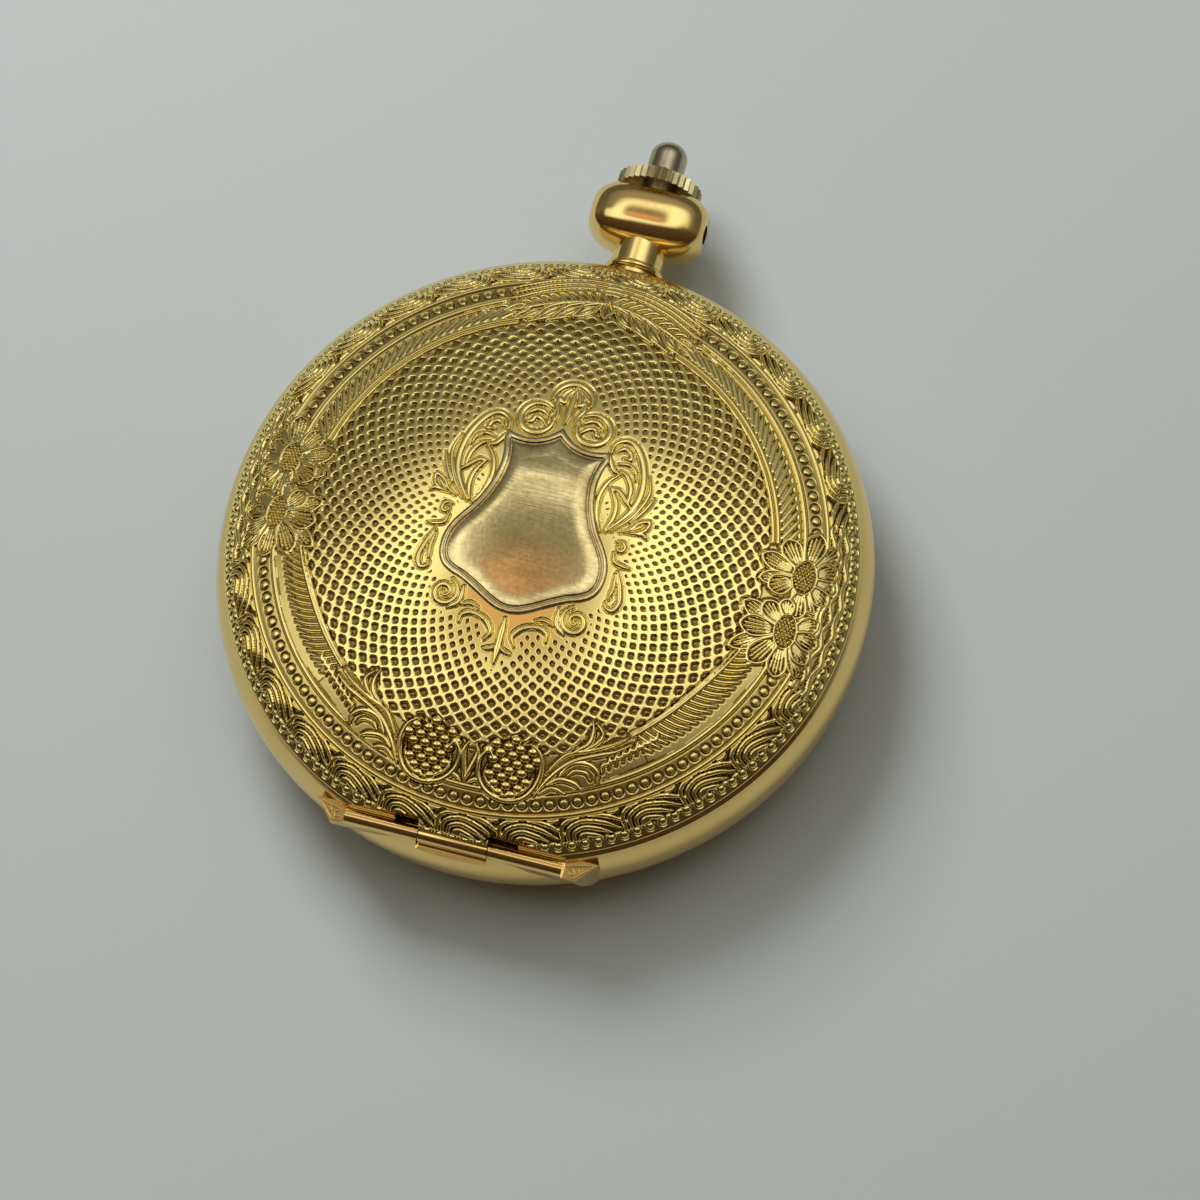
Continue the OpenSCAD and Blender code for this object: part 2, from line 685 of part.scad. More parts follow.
module yoke() color([0.6, 0.62, 0.66]) {
  y0 = clutch_y + 1.1;
  difference() {
    union() {
      translate([-4.4, y0 - 0.15, plate_z1]) cube([4.7, 0.3, 0.14]);
      translate([-4.4, y0, plate_z1]) cylinder(r = 0.7, h = 0.14);
      translate([-0.3, y0 - 0.14, pz + 0.68]) cube([0.6, 0.28, plate_z1 + 0.05 - pz - 0.68]);
    }
    translate([-4.4, y0, plate_z1 - 0.1]) cylinder(r = 0.25, h = 1);
  }
}

module main_plate() color([0.8, 0.78, 0.7]) {
  difference() {
    union() {
      translate([0, 0, plate_z0]) cylinder(r = calibre_r - 0.3, h = plate_z1 - plate_z0);
      ring(calibre_r, wall_r, move_z, mz);
      for (p = posts) translate([p[0], p[1], move_z]) cylinder(r = post_wall, h = plate_z0 - move_z + e);
      translate([clip_x, clip_y, move_z - 0.4]) cylinder(r = post_wall, h = plate_z0 - move_z + 0.4 + e);
      for (p = pads) translate([p[0], p[1], move_z + 0.2])
        cylinder(r = 0.7, h = plate_z0 - move_z - 0.2 + e);
      translate([-0.9, clutch_y - 1.9, pz - 0.7]) cube([1.8, 1.1, plate_z0 - pz + 0.71]);
      translate([minute_x, minute_y, plate_z1 - e]) cylinder(r = 0.25, h = 0.36);
      translate([0, set_y, plate_z1 - e]) cylinder(r = 0.25, h = 0.26);
      translate([lever_x, groove_y, plate_z1 - e]) cylinder(r = 0.25, h = 0.3);
      translate([-4.4, clutch_y + 1.1, plate_z1 - e]) cylinder(r = 0.25, h = 0.3);
    }
    translate([0, 0, plate_z0 - e]) cylinder(r = 0.54, h = 1);
    for (p = [[third_x, third_y], [fifth_x, fifth_y], [rotor_x, rotor_y]])
      translate([p[0], p[1], plate_z0 - e]) cylinder(r = 0.17, h = 0.6);
    for (p = posts) translate([p[0], p[1], move_z - e]) cylinder(r = 0.3, h = 1);
    translate([clip_x, clip_y, move_z - 0.4 - e]) cylinder(r = 0.3, h = 1.4);
    for (a = [foot_at, foot_at + 180]) rotate([0, 0, a]) translate([foot_r, 0, plate_z0 - 1])
      cylinder(r = 0.37, h = 2);
    pend_rod(0.38, clutch_y - 2.5, clutch_y);
    pend_rod(0.66, clutch_y + 1.9, calibre_r + 1);
    translate([-1.1, clutch_y - 0.3, plate_z0 - 1]) cube([2.2, 2.3, 2]);
    translate([-0.3, groove_y - 0.35, plate_z0 - 1]) cube([0.8, pull + 0.75, 2]);
  }
}

module train_bridge() color([0.82, 0.8, 0.74]) {
  difference() {
    translate([0, 0, move_z - 0.4]) linear_extrude(0.4)
      polygon([[-5.9, 4.4], [6.1, 3.5], [6.3, 1.6], [4.9, -5.2], [2.6, -5.9], [-1.2, -5.3],
        [-4.4, -3.3], [-6, 2.8]]);
    for (p = [[0, 0], [third_x, third_y], [fifth_x, fifth_y], [rotor_x, rotor_y]])
      translate([p[0], p[1], move_z - 1]) cylinder(r = p[0] == 0 ? 0.2 : 0.17, h = 2);
    for (p = posts) translate([p[0], p[1], move_z - 1]) cylinder(r = 0.3, h = 2);
    translate([battery_x, battery_y, move_z - 1]) cylinder(r = battery_r + 0.1, h = 2);
  }
}

module bridge_screws() color([0.5, 0.55, 0.65]) {
  for (p = posts) translate([p[0], p[1], move_z - 0.4]) mirror([0, 0, 1])
    screw(0.55, 0.3, 0.3, 1.35);
}

module battery() color([0.75, 0.76, 0.78]) {
  translate([battery_x, battery_y, battery_z]) rotate_extrude() polygon([[0, 0], [battery_r - 0.15, 0],
    [battery_r, 0.15], [battery_r, battery_h - 0.4], [battery_r - 0.6, battery_h - 0.4],
    [battery_r - 0.6, battery_h], [0, battery_h]]);
}

module battery_clip() color([0.8, 0.72, 0.5]) {
  a = atan2(clip_y - battery_y, clip_x - battery_x);
  d = norm([clip_x - battery_x, clip_y - battery_y]);
  difference() {
    translate([battery_x, battery_y, 0]) rotate([0, 0, a]) union() {
      translate([-2.4, -0.8, battery_z - 0.2]) cube([battery_r + 2.7, 1.6, 0.2]);
      translate([battery_r + 0.12, -0.8, battery_z - 0.2]) cube([0.2, 1.6, move_z - 0.2 - battery_z]);
      translate([battery_r + 0.12, -0.8, move_z - 0.6]) cube([d - battery_r + 0.5, 1.6, 0.2]);
    }
    translate([clip_x, clip_y, 0]) cylinder(r = 0.3, h = move_z);
  }
}

module battery_screw() color([0.5, 0.55, 0.65]) {
  translate([clip_x, clip_y, move_z - 0.6]) mirror([0, 0, 1]) screw(0.55, 0.3, 0.3, 1.5);
}

module battery_insulator() color([0.85, 0.6, 0.2]) {
  translate([battery_x, battery_y, plate_z0 - 0.05]) cylinder(r = battery_r - 0.3, h = 0.05);
}

module rotor_frame() {
  translate([rotor_x, rotor_y, 0]) rotate([0, 0, atan2(rotor_y, rotor_x) + 90]) children();
}

module coil() color([0.72, 0.4, 0.2]) {
  cz = move_z + 0.45;
  rotor_frame() union() {
    translate([-3.4, coil_y, cz]) rotate([0, 90, 0]) cylinder(r = 0.8, h = 6.8);
    for (s = [-1, 1]) translate([s > 0 ? 3.2 : -3.5, coil_y - 1, cz - 0.2]) cube([0.3, 2, 0.9]);
  }
}

module stator() color([0.6, 0.6, 0.58]) {
  rotor_frame() difference() {
    union() {
      translate([-5, -1.4, move_z + 0.2]) cube([10, 2.7, 0.5]);
      for (s = [-1, 1]) translate([s > 0 ? 3.6 : -5, -leg, move_z + 0.2])
        cube([1.4, leg - 1.3, 0.5]);
    }
    translate([0, 0, move_z]) cylinder(r = 0.95, h = 2);
    translate([-0.65, -3, move_z]) cube([0.12, 1.7, 2]);
    translate([0.3, 1.26, move_z]) cube([0.12, 1.7, 2]);
  }
}

module arbor(z0, z1) {
  translate([0, 0, z0]) cylinder(r = 0.14, h = z1 - z0);
}

module rotor() color([0.3, 0.3, 0.32]) {
  translate([rotor_x, rotor_y, 0]) union() {
    arbor(move_z - 0.35, plate_z1 - 0.1);
    translate([0, 0, move_z + 0.2]) cylinder(r = 0.8, h = 0.5);
    gear(12, fifth_m, 0.42, move_z + 0.75, move_z + 1.1, rotor_at, 0.1);
  }
}

module fifth_wheel() color([0.8, 0.66, 0.3]) {
  translate([fifth_x, fifth_y, 0]) difference() {
    union() {
      arbor(move_z - 0.35, plate_z1 - 0.1);
      gear(60, fifth_m, 0.45, move_z + 0.8, move_z + 0.95, rotor_at + 3, 0.1);
      gear(10, fourth_m, 0.42, move_z + 0.25, move_z + 0.81, fifth_at + 180 + 18, 0.1);
    }
    crossings(2.1, move_z + 0.82, move_z + 1, 0);
  }
}

module fourth_wheel() color([0.8, 0.66, 0.3]) {
  union() {
    translate([0, 0, move_z - 0.35]) cylinder(r = 0.18, h = 4.2);
    difference() {
      gear(60, fourth_m, 0.45, move_z + 0.38, move_z + 0.53, fifth_at, 0.15);
      crossings(2.7, move_z + 0.38, move_z + 0.53, 20);
    }
    gear(8, third_m, 0.42, move_z + 0.52, move_z + 0.95, third_at, 0.1);
  }
}

module third_wheel() color([0.8, 0.66, 0.3]) {
  translate([third_x, third_y, 0]) union() {
    arbor(move_z - 0.35, plate_z1 - 0.1);
    difference() {
      gear(60, third_m, 0.45, move_z + 0.66, move_z + 0.81, third_at + 180 + 3, 0.1);
      crossings(2.4, move_z + 0.66, move_z + 0.81, 10);
    }
    gear(8, centre_m, 0.42, move_z + 0.8, move_z + 1.32, third_at + 180, 0.1);
  }
}

module centre_wheel() color([0.82, 0.68, 0.32]) {
  difference() {
    union() {
      gear(64, centre_m, 0.45, move_z + 1.15, move_z + 1.3, third_at + 180 / 64, 0.3);
      translate([0, 0, move_z + 1.05]) cylinder(r = 0.5, h = 2.5);
      gear(12, motion_m, 0.42, plate_z1 + 0.03, plate_z1 + 0.17, 60, 0.3);
    }
    translate([0, 0, move_z]) cylinder(r = 0.22, h = 5);
  }
}

module minute_wheel() color([0.82, 0.68, 0.32]) {
  translate([minute_x, minute_y, 0]) union() {
    gear(36, motion_m, 0.45, plate_z1 + 0.05, plate_z1 + 0.15, 60 + 5, 0.28);
    gear(10, hour_m, 0.42, plate_z1 + 0.14, plate_z1 + 0.34, 60 + 18, 0.28);
  }
}

module hour_wheel() color([0.82, 0.68, 0.32]) {
  difference() {
    union() {
      gear(40, hour_m, 0.45, plate_z1 + 0.21, plate_z1 + 0.31, 60, 0.55);
      translate([0, 0, plate_z1 + 0.21]) cylinder(r = 0.8, h = 0.89);
    }
    translate([0, 0, plate_z1]) cylinder(r = 0.53, h = 3);
  }
}

module circuit_board() color([0.1, 0.35, 0.2]) {
  translate([0, 0, move_z]) linear_extrude(0.2)
    polygon([[-board_r + 0.35, 0.5], [-7, 0.5], [-6.4, 5.2], [-2.4, 5.6],
      for (a = [101.5, 123, 148]) board_r * [cos(a), sin(a)]]);
}

module quartz_crystal() color([0.78, 0.78, 0.76]) {
  q = wall_r - 1.45;
  translate([q * cos(140), q * sin(140), move_z + 0.82]) rotate([0, 90, 8]) cylinder(r = 0.6, h = 5);
}

module ic_chip() color([0.08, 0.08, 0.08]) {
  c = wall_r - 3.6;
  translate([c * cos(157), c * sin(157), move_z + 0.2]) cylinder(r = 1.2, h = 0.5);
}

module movement_clamps() color([0.75, 0.75, 0.74]) {
  for (a = [40, 220]) rotate([0, 0, a]) difference() {
    translate([calibre_r - 0.6, -1, move_z - 0.25]) cube([3.2, 2, 0.25]);
    translate([clamp_screw_r, 0, move_z - 1]) cylinder(r = 0.35, h = 2);
  }
}

module clamp_screws() color([0.5, 0.55, 0.65]) {
  for (a = [40, 220]) rotate([0, 0, a]) translate([clamp_screw_r, 0, move_z - 0.25]) mirror([0, 0, 1])
    screw(0.7, 0.35, 0.35, 1.6);
}

module dial_washer() color([0.85, 0.72, 0.4]) {
  ring(1.6, 0.85, plate_z1 + 0.33, mz);
}

// a tapered hand with a round boss; the outline runs along +X
module hand(len, tail, w, boss, bore, z, t, a) {
  rotate([0, 0, a]) translate([0, 0, z]) linear_extrude(t) difference() {
    union() {
      circle(boss);
      polygon([[-tail, -w * 0.5], [0, -w * 0.6], [len * 0.3, -w * 0.45], [len * 0.62, -w],
        [len, 0], [len * 0.62, w], [len * 0.3, w * 0.45], [0, w * 0.6], [-tail, w * 0.5]]);
    }
    circle(bore);
  }
}

module hour_hand() color([0.12, 0.16, 0.4]) {
  hand(hour_len, 1.8, 0.6, 1.25, 0.8, plate_z1 + 0.92, 0.18, hour_at);
}

module minute_hand() color([0.12, 0.16, 0.4]) {
  hand(minute_len, 2, 0.5, 0.95, 0.5, move_z + 3.35, 0.16, minute_at);
}

module second_hand() color([0.12, 0.16, 0.4]) {
  hand(second_len, 4, 0.14, 0.5, 0.18, move_z + 3.66, 0.12, second_at);
}

case_middle();
pendant_neck();
pendant_bulb();
crown_sleeve();
back_cover();
back_gasket();
bezel();
crystal();
crystal_gasket();
rehaut_ring();
dial();
movement_ring();
hinge_pin();
lid_lift_spring();
spring_screws();
catch_spring();
front_lid();
lid_liner();
lid_shield();
crown();
crown_tube();
crown_post();
crown_return_spring();
stem();
clutch_pinion();
setting_wheel();
setting_lever();
yoke();
main_plate();
train_bridge();
bridge_screws();
battery();
battery_clip();
battery_screw();
battery_insulator();
coil();
stator();
rotor();
fifth_wheel();
fourth_wheel();
third_wheel();
centre_wheel();
minute_wheel();
hour_wheel();
circuit_board();
quartz_crystal();
ic_chip();
movement_clamps();
clamp_screws();
dial_washer();
hour_hand();
minute_hand();
second_hand();
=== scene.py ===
import math

import bmesh
import bpy
import numpy as np
from mathutils import Matrix, Vector


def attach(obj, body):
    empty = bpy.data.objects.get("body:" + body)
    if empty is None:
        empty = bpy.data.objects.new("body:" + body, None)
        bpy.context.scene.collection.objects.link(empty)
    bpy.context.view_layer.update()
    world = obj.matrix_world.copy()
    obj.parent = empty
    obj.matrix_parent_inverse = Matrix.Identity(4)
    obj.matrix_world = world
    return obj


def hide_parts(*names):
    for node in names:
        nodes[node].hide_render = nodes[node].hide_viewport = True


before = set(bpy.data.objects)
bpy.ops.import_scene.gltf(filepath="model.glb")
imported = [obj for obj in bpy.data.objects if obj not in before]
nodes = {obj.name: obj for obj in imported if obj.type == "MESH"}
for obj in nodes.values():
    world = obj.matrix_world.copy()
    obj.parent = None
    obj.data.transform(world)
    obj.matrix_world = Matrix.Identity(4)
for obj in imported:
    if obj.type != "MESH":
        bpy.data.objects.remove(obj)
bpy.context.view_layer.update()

MM = 0.001


# The camera stands a little left of the hinge and looks steeply down on the closed lid.
# Its place was found by fitting the lid's rim, the shield and the pendant to the photograph.
lens_px = 3608.57
picture_px = 1200
sensor_mm = 36
turn, lift, roll = (math.radians(a) for a in (25.868, 68.452, -10.981))
away = 260 * MM
aim = Vector((5.037, -2.324, 8.0)) * MM

back = Vector((math.sin(turn) * math.cos(lift), -math.cos(turn) * math.cos(lift), math.sin(lift)))
right = (-back).cross(Vector((0, 0, 1))).normalized()
up = right.cross(-back)
level = Matrix((right, up, back)).transposed()
camera_data = bpy.data.cameras.new("camera")
camera_data.sensor_width = sensor_mm
camera_data.lens = lens_px / picture_px * sensor_mm
camera_data.clip_start = 0.01
camera = bpy.data.objects.new("camera", camera_data)
camera.matrix_world = Matrix.Translation(aim + back * away) @ level.to_4x4() @ Matrix.Rotation(roll, 4, "Z")
bpy.context.scene.collection.objects.link(camera)
bpy.context.scene.camera = camera
bpy.context.scene.view_settings.view_transform = "Standard"


# The floor is a plain pale sheet of card that runs past the picture on every side.
# The finishes below are built with two small classes: Port does the sums, Finish adds the nodes.
class Port:
    """A value in a finish. Sums on it add Math nodes."""

    def __init__(self, finish, socket):
        self.finish = finish
        self.socket = socket

    def sum(self, operation, first, second=0.0):
        return self.finish.node("Math", {"operation": operation}, {0: first, 1: second})

    def __add__(self, other):
        return self.sum("ADD", self, other)

    __radd__ = __add__

    def __sub__(self, other):
        return self.sum("SUBTRACT", self, other)

    def __rsub__(self, other):
        return self.sum("SUBTRACT", other, self)

    def __mul__(self, other):
        return self.sum("MULTIPLY", self, other)

    __rmul__ = __mul__

    def __truediv__(self, other):
        return self.sum("DIVIDE", self, other)

    def __rtruediv__(self, other):
        return self.sum("DIVIDE", other, self)

    def __pow__(self, other):
        return self.sum("POWER", self, other)

    def of(self, operation, other=0.0):
        return self.sum(operation, self, other)


class Finish:
    """A material or a world, and the nodes that make its look."""

    def __init__(self, owner, shader=None):
        self.owner = owner
        owner.use_nodes = True
        self.tree = owner.node_tree
        self.shader = self.tree.nodes[shader or "Principled BSDF"]

    def node(self, kind, settings=None, inputs=None, output=0):
        made = self.tree.nodes.new("ShaderNode" + kind)
        for key, value in (settings or {}).items():
            if key == "stops":
                ramp = made.color_ramp
                while len(ramp.elements) < len(value):
                    ramp.elements.new(0.5)
                for stop, (place, tint) in zip(ramp.elements, value):
                    stop.position = place
                    stop.color = (*tint, 1)
            else:
                setattr(made, key, value)
        for key, value in (inputs or {}).items():
            self.feed(made.inputs[key], value)
        return Port(self, made.outputs[output])

    def feed(self, socket, value):
        if isinstance(value, Port):
            self.tree.links.new(value.socket, socket)
        elif socket.type == "RGBA" and len(value) == 3:
            socket.default_value = (*value, 1)
        else:
            socket.default_value = value

    def set(self, **sockets):
        for key, value in sockets.items():
            self.feed(self.shader.inputs[key.replace("_", " ")], value)

    def place(self):
        return self.node("TexCoord", output="Object")

    def noise(self, size_mm, detail=3.0, stretch=(1, 1, 1)):
        scaled = self.node("VectorMath", {"operation": "MULTIPLY"},
                           {0: self.place(), 1: tuple(s / (size_mm * MM) for s in stretch)})
        return self.node("TexNoise", {}, {"Vector": scaled, "Scale": 1.0, "Detail": detail})

    def ramp(self, value, *stops):
        return self.node("ValToRGB", {"stops": stops}, {0: value})

    def mix(self, share, first, second, blend="MIX"):
        return self.node("Mix", {"data_type": "RGBA", "blend_type": blend},
                         {0: share, 6: first, 7: second}, output=2)

    def span(self, value, low, high, to_low, to_high):
        return self.node("MapRange", {"clamp": True},
                         {0: value, 1: low, 2: high, 3: to_low, 4: to_high})

    def bump(self, height, strength, depth_mm):
        return self.node("Bump", {}, {"Height": height, "Strength": strength, "Distance": depth_mm * MM})


def new_finish(name):
    return Finish(bpy.data.materials.new(name))


def srgb(*levels):
    """A colour given in 0 to 255 screen levels, as the linear values that a shader takes."""
    return tuple((v / 255) ** 2.2 for v in levels)


def add_mesh(name, mesh, finish, body, smooth_deg=40):
    """Turns a bmesh drawn in millimetres into a piece in place on its body."""
    bmesh.ops.transform(mesh, matrix=Matrix.Scale(MM, 4), verts=mesh.verts)
    data = bpy.data.meshes.new(name)
    mesh.to_mesh(data)
    mesh.free()
    piece = bpy.data.objects.new(name, data)
    bpy.context.scene.collection.objects.link(piece)
    data.materials.append(finish.owner)
    data.shade_smooth()
    if smooth_deg:
        data.set_sharp_from_angle(angle=math.radians(smooth_deg))
    if body:
        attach(piece, body)
    return piece


floor_half, floor_drop = 3000, 0.02
floor_mesh = bmesh.new()
bmesh.ops.create_grid(floor_mesh, x_segments=1, y_segments=1, size=floor_half)
bmesh.ops.translate(floor_mesh, verts=floor_mesh.verts, vec=(0, 0, -floor_drop))
card = new_finish("floor_card")
card.set(Base_Color=srgb(190, 197, 196), Roughness=0.85)
floor = add_mesh("floor", floor_mesh, card, None)


# The light is a soft room: a bright panel overhead, a warm patch beside the camera and dim
# brown surroundings, which the polished gold mirrors. One soft lamp from the upper left
# throws the shadow to the lower right.
sky = Finish(bpy.data.worlds.new("room"), "Background")
bpy.context.scene.world = sky.owner
heading = sky.node("TexCoord", output="Generated")
split = sky.node("SeparateXYZ", {}, {0: heading})
across, along, height = (Port(sky, split.socket.node.outputs[i]) for i in range(3))

# The sky is drawn on a flat ceiling one unit up, east and north of the point overhead.
least_rise = 0.05
rise = height.of("MAXIMUM", least_rise)
east = across / rise
north = along / rise


def soft_panel(middle, half, edge, skew=(0.0, 0.0)):
    """1 inside a soft rounded window of the sky, 0 outside."""
    u = ((east - middle[0] - (north - middle[1]) * skew[0]) / half[0]).of("ABSOLUTE")
    v = ((north - middle[1] - (east - middle[0]) * skew[1]) / half[1]).of("ABSOLUTE")
    far = (u ** 4.0 + v ** 4.0) ** 0.25
    return sky.span(far, 1 + edge, 1 - edge, 0, 1)


panel = soft_panel(middle=(-0.13, 0.22), half=(0.6, 0.41), edge=0.25, skew=(0.2, 0.12))
west_wing = soft_panel(middle=(-0.75, -0.02), half=(0.5, 0.27), edge=0.4)
east_wing = soft_panel(middle=(0.45, 0.42), half=(0.4, 0.3), edge=0.5)
glow = soft_panel(middle=(0.1, 0.8), half=(1.1, 0.7), edge=0.5)
dim_patch = soft_panel(middle=(-0.17, 0.2), half=(0.225, 0.26), edge=0.25)
warm_patch = soft_panel(middle=(-0.18, 0.11), half=(0.15, 0.1), edge=0.2)
room = sky.ramp(sky.span(north, -1.5, 1.5, 0, 1),
                (0, (0.06, 0.036, 0.025)), (0.42, (0.1, 0.072, 0.048)),
                (0.6, (0.17, 0.158, 0.136)), (1, (0.135, 0.13, 0.115)))
glowing = sky.mix(glow, room, (0.37, 0.365, 0.35))
winged = sky.mix((west_wing * 1.1).of("MAXIMUM", east_wing * 0.9), glowing, (1.2, 1.2, 1.15))
lit = sky.mix(panel, winged, (1.62, 1.62, 1.55))
dimmed = sky.mix(dim_patch * 0.96, lit, (0.27, 0.25, 0.2))
seen = sky.mix(warm_patch, dimmed, (0.85, 0.5, 0.33))
sky.set(Color=seen, Strength=0.85)


def add_lamp(name, place_mm, size_mm, watts):
    """A soft round lamp, aimed at the watch, that the metal doesn't mirror."""
    data = bpy.data.lights.new(name, "AREA")
    data.size = size_mm * MM
    data.energy = watts
    data.shape = "DISK"
    lamp = bpy.data.objects.new(name, data)
    lamp.location = Vector(place_mm) * MM
    lamp.visible_glossy = False
    lamp.rotation_euler = (aim - lamp.location).to_track_quat("-Z", "Y").to_euler()
    bpy.context.scene.collection.objects.link(lamp)


add_lamp("key_lamp", place_mm=(-205, 225, 300), size_mm=220, watts=1.24)


# The case is brass under a bright gold plate, polished all over, with the faint swirls and
# fingermarks that a handled watch picks up.
def gold(name, tint=(248, 215, 138), rough=0.12, wear=0.06):
    """Polished gold plate: a slow change of tone, fingermarks and fine swirls."""
    made = new_finish(name)
    broad = made.noise(9, detail=4)
    fine = made.noise(0.5, detail=6)
    swirl = made.noise(0.12, detail=2, stretch=(1, 0.12, 1))
    deeper = srgb(tint[0] * 0.93, tint[1] * 0.9, tint[2] * 0.8)
    smear = made.span(fine, 0.45, 0.75, 0, wear)
    made.set(Base_Color=made.mix(made.span(broad, 0.35, 0.7, 0, 0.5), srgb(*tint), deeper), Metallic=1.0)
    made.set(Roughness=made.span(broad, 0.3, 0.7, rough * 0.8, rough * 1.25) + smear)
    made.set(Normal=made.bump(swirl, strength=0.12, depth_mm=0.004))
    return made


def dress(finish, *names):
    """Gives CAD nodes, which keep their own meshes, a finish."""
    for name in names:
        nodes[name].data.materials[0] = finish.owner


gold_case = gold("gold_plate")
dress(gold_case, "case_middle", "pendant_neck", "pendant_bulb", "back_cover", "bezel")


# The lid is one pressed brass sheet, chased on top and gilded. It is drawn in rings, each a
# closed solid of the sheet's thickness, whose top is then raised and cut by the chasing. Its
# plain form is a wide dome that turns down over a round corner.
rim_r = 23.4
dome_r, dome_z, dome_edge = 56.5, -41.93, 20.55
corner_r, corner_x, corner_z = 6.8, 18.077, 4.369
sheet = 0.5
lid_foot, lip_top, lip_r = 8.5, 8.93, 22.3
relief_start, relief_end = 4.3, 23.1


def lid_height(r, inset=0.0):
    """Height of the lid's plain outer form at radius r, or of the surface inset below it."""
    dome = dome_z + np.sqrt((dome_r - inset) ** 2 - np.minimum(r, dome_edge) ** 2)
    reach = np.clip((r - corner_x) / (corner_r - inset), -1, 1)
    corner = corner_z + (corner_r - inset) * np.sqrt(1 - reach ** 2)
    return np.where(r < dome_edge, dome, corner)


def lid_lean(r):
    """How far the lid's outward normal leans away from upright, as a sine."""
    return np.where(r < dome_edge, r / dome_r, (r - corner_x) / corner_r)


def curve(points, per_span=6):
    """A smooth line through a few points, as a Catmull-Rom curve."""
    given = np.array(points, float)
    if len(given) < 3:
        return given
    ends = np.vstack([2 * given[0] - given[1], given, 2 * given[-1] - given[-2]])
    t = np.linspace(0, 1, per_span, endpoint=False)[:, None]
    spans = [0.5 * (2 * b + (c - a) * t + (2 * a - 5 * b + 4 * c - d) * t ** 2
                    + (3 * b - a - 3 * c + d) * t ** 3)
             for a, b, c, d in zip(ends, ends[1:], ends[2:], ends[3:])]
    return np.vstack(spans + [given[-1:]])


def arc(middle, radius, start_deg, end_deg, steps=18):
    """Points along an arc; radius may be a pair, for a spiral."""
    a = np.radians(np.linspace(start_deg, end_deg, steps))
    reach = np.linspace(*radius, steps) if isinstance(radius, tuple) else radius
    return np.column_stack([middle[0] + reach * np.cos(a), middle[1] + reach * np.sin(a)])


def pointing(a):
    """A unit step in a direction given in radians."""
    return np.array([math.cos(a), math.sin(a)])


def square_to(run):
    """A unit step at right angles to a run, on its left."""
    return np.array([-run[1], run[0]]) / np.hypot(*run)


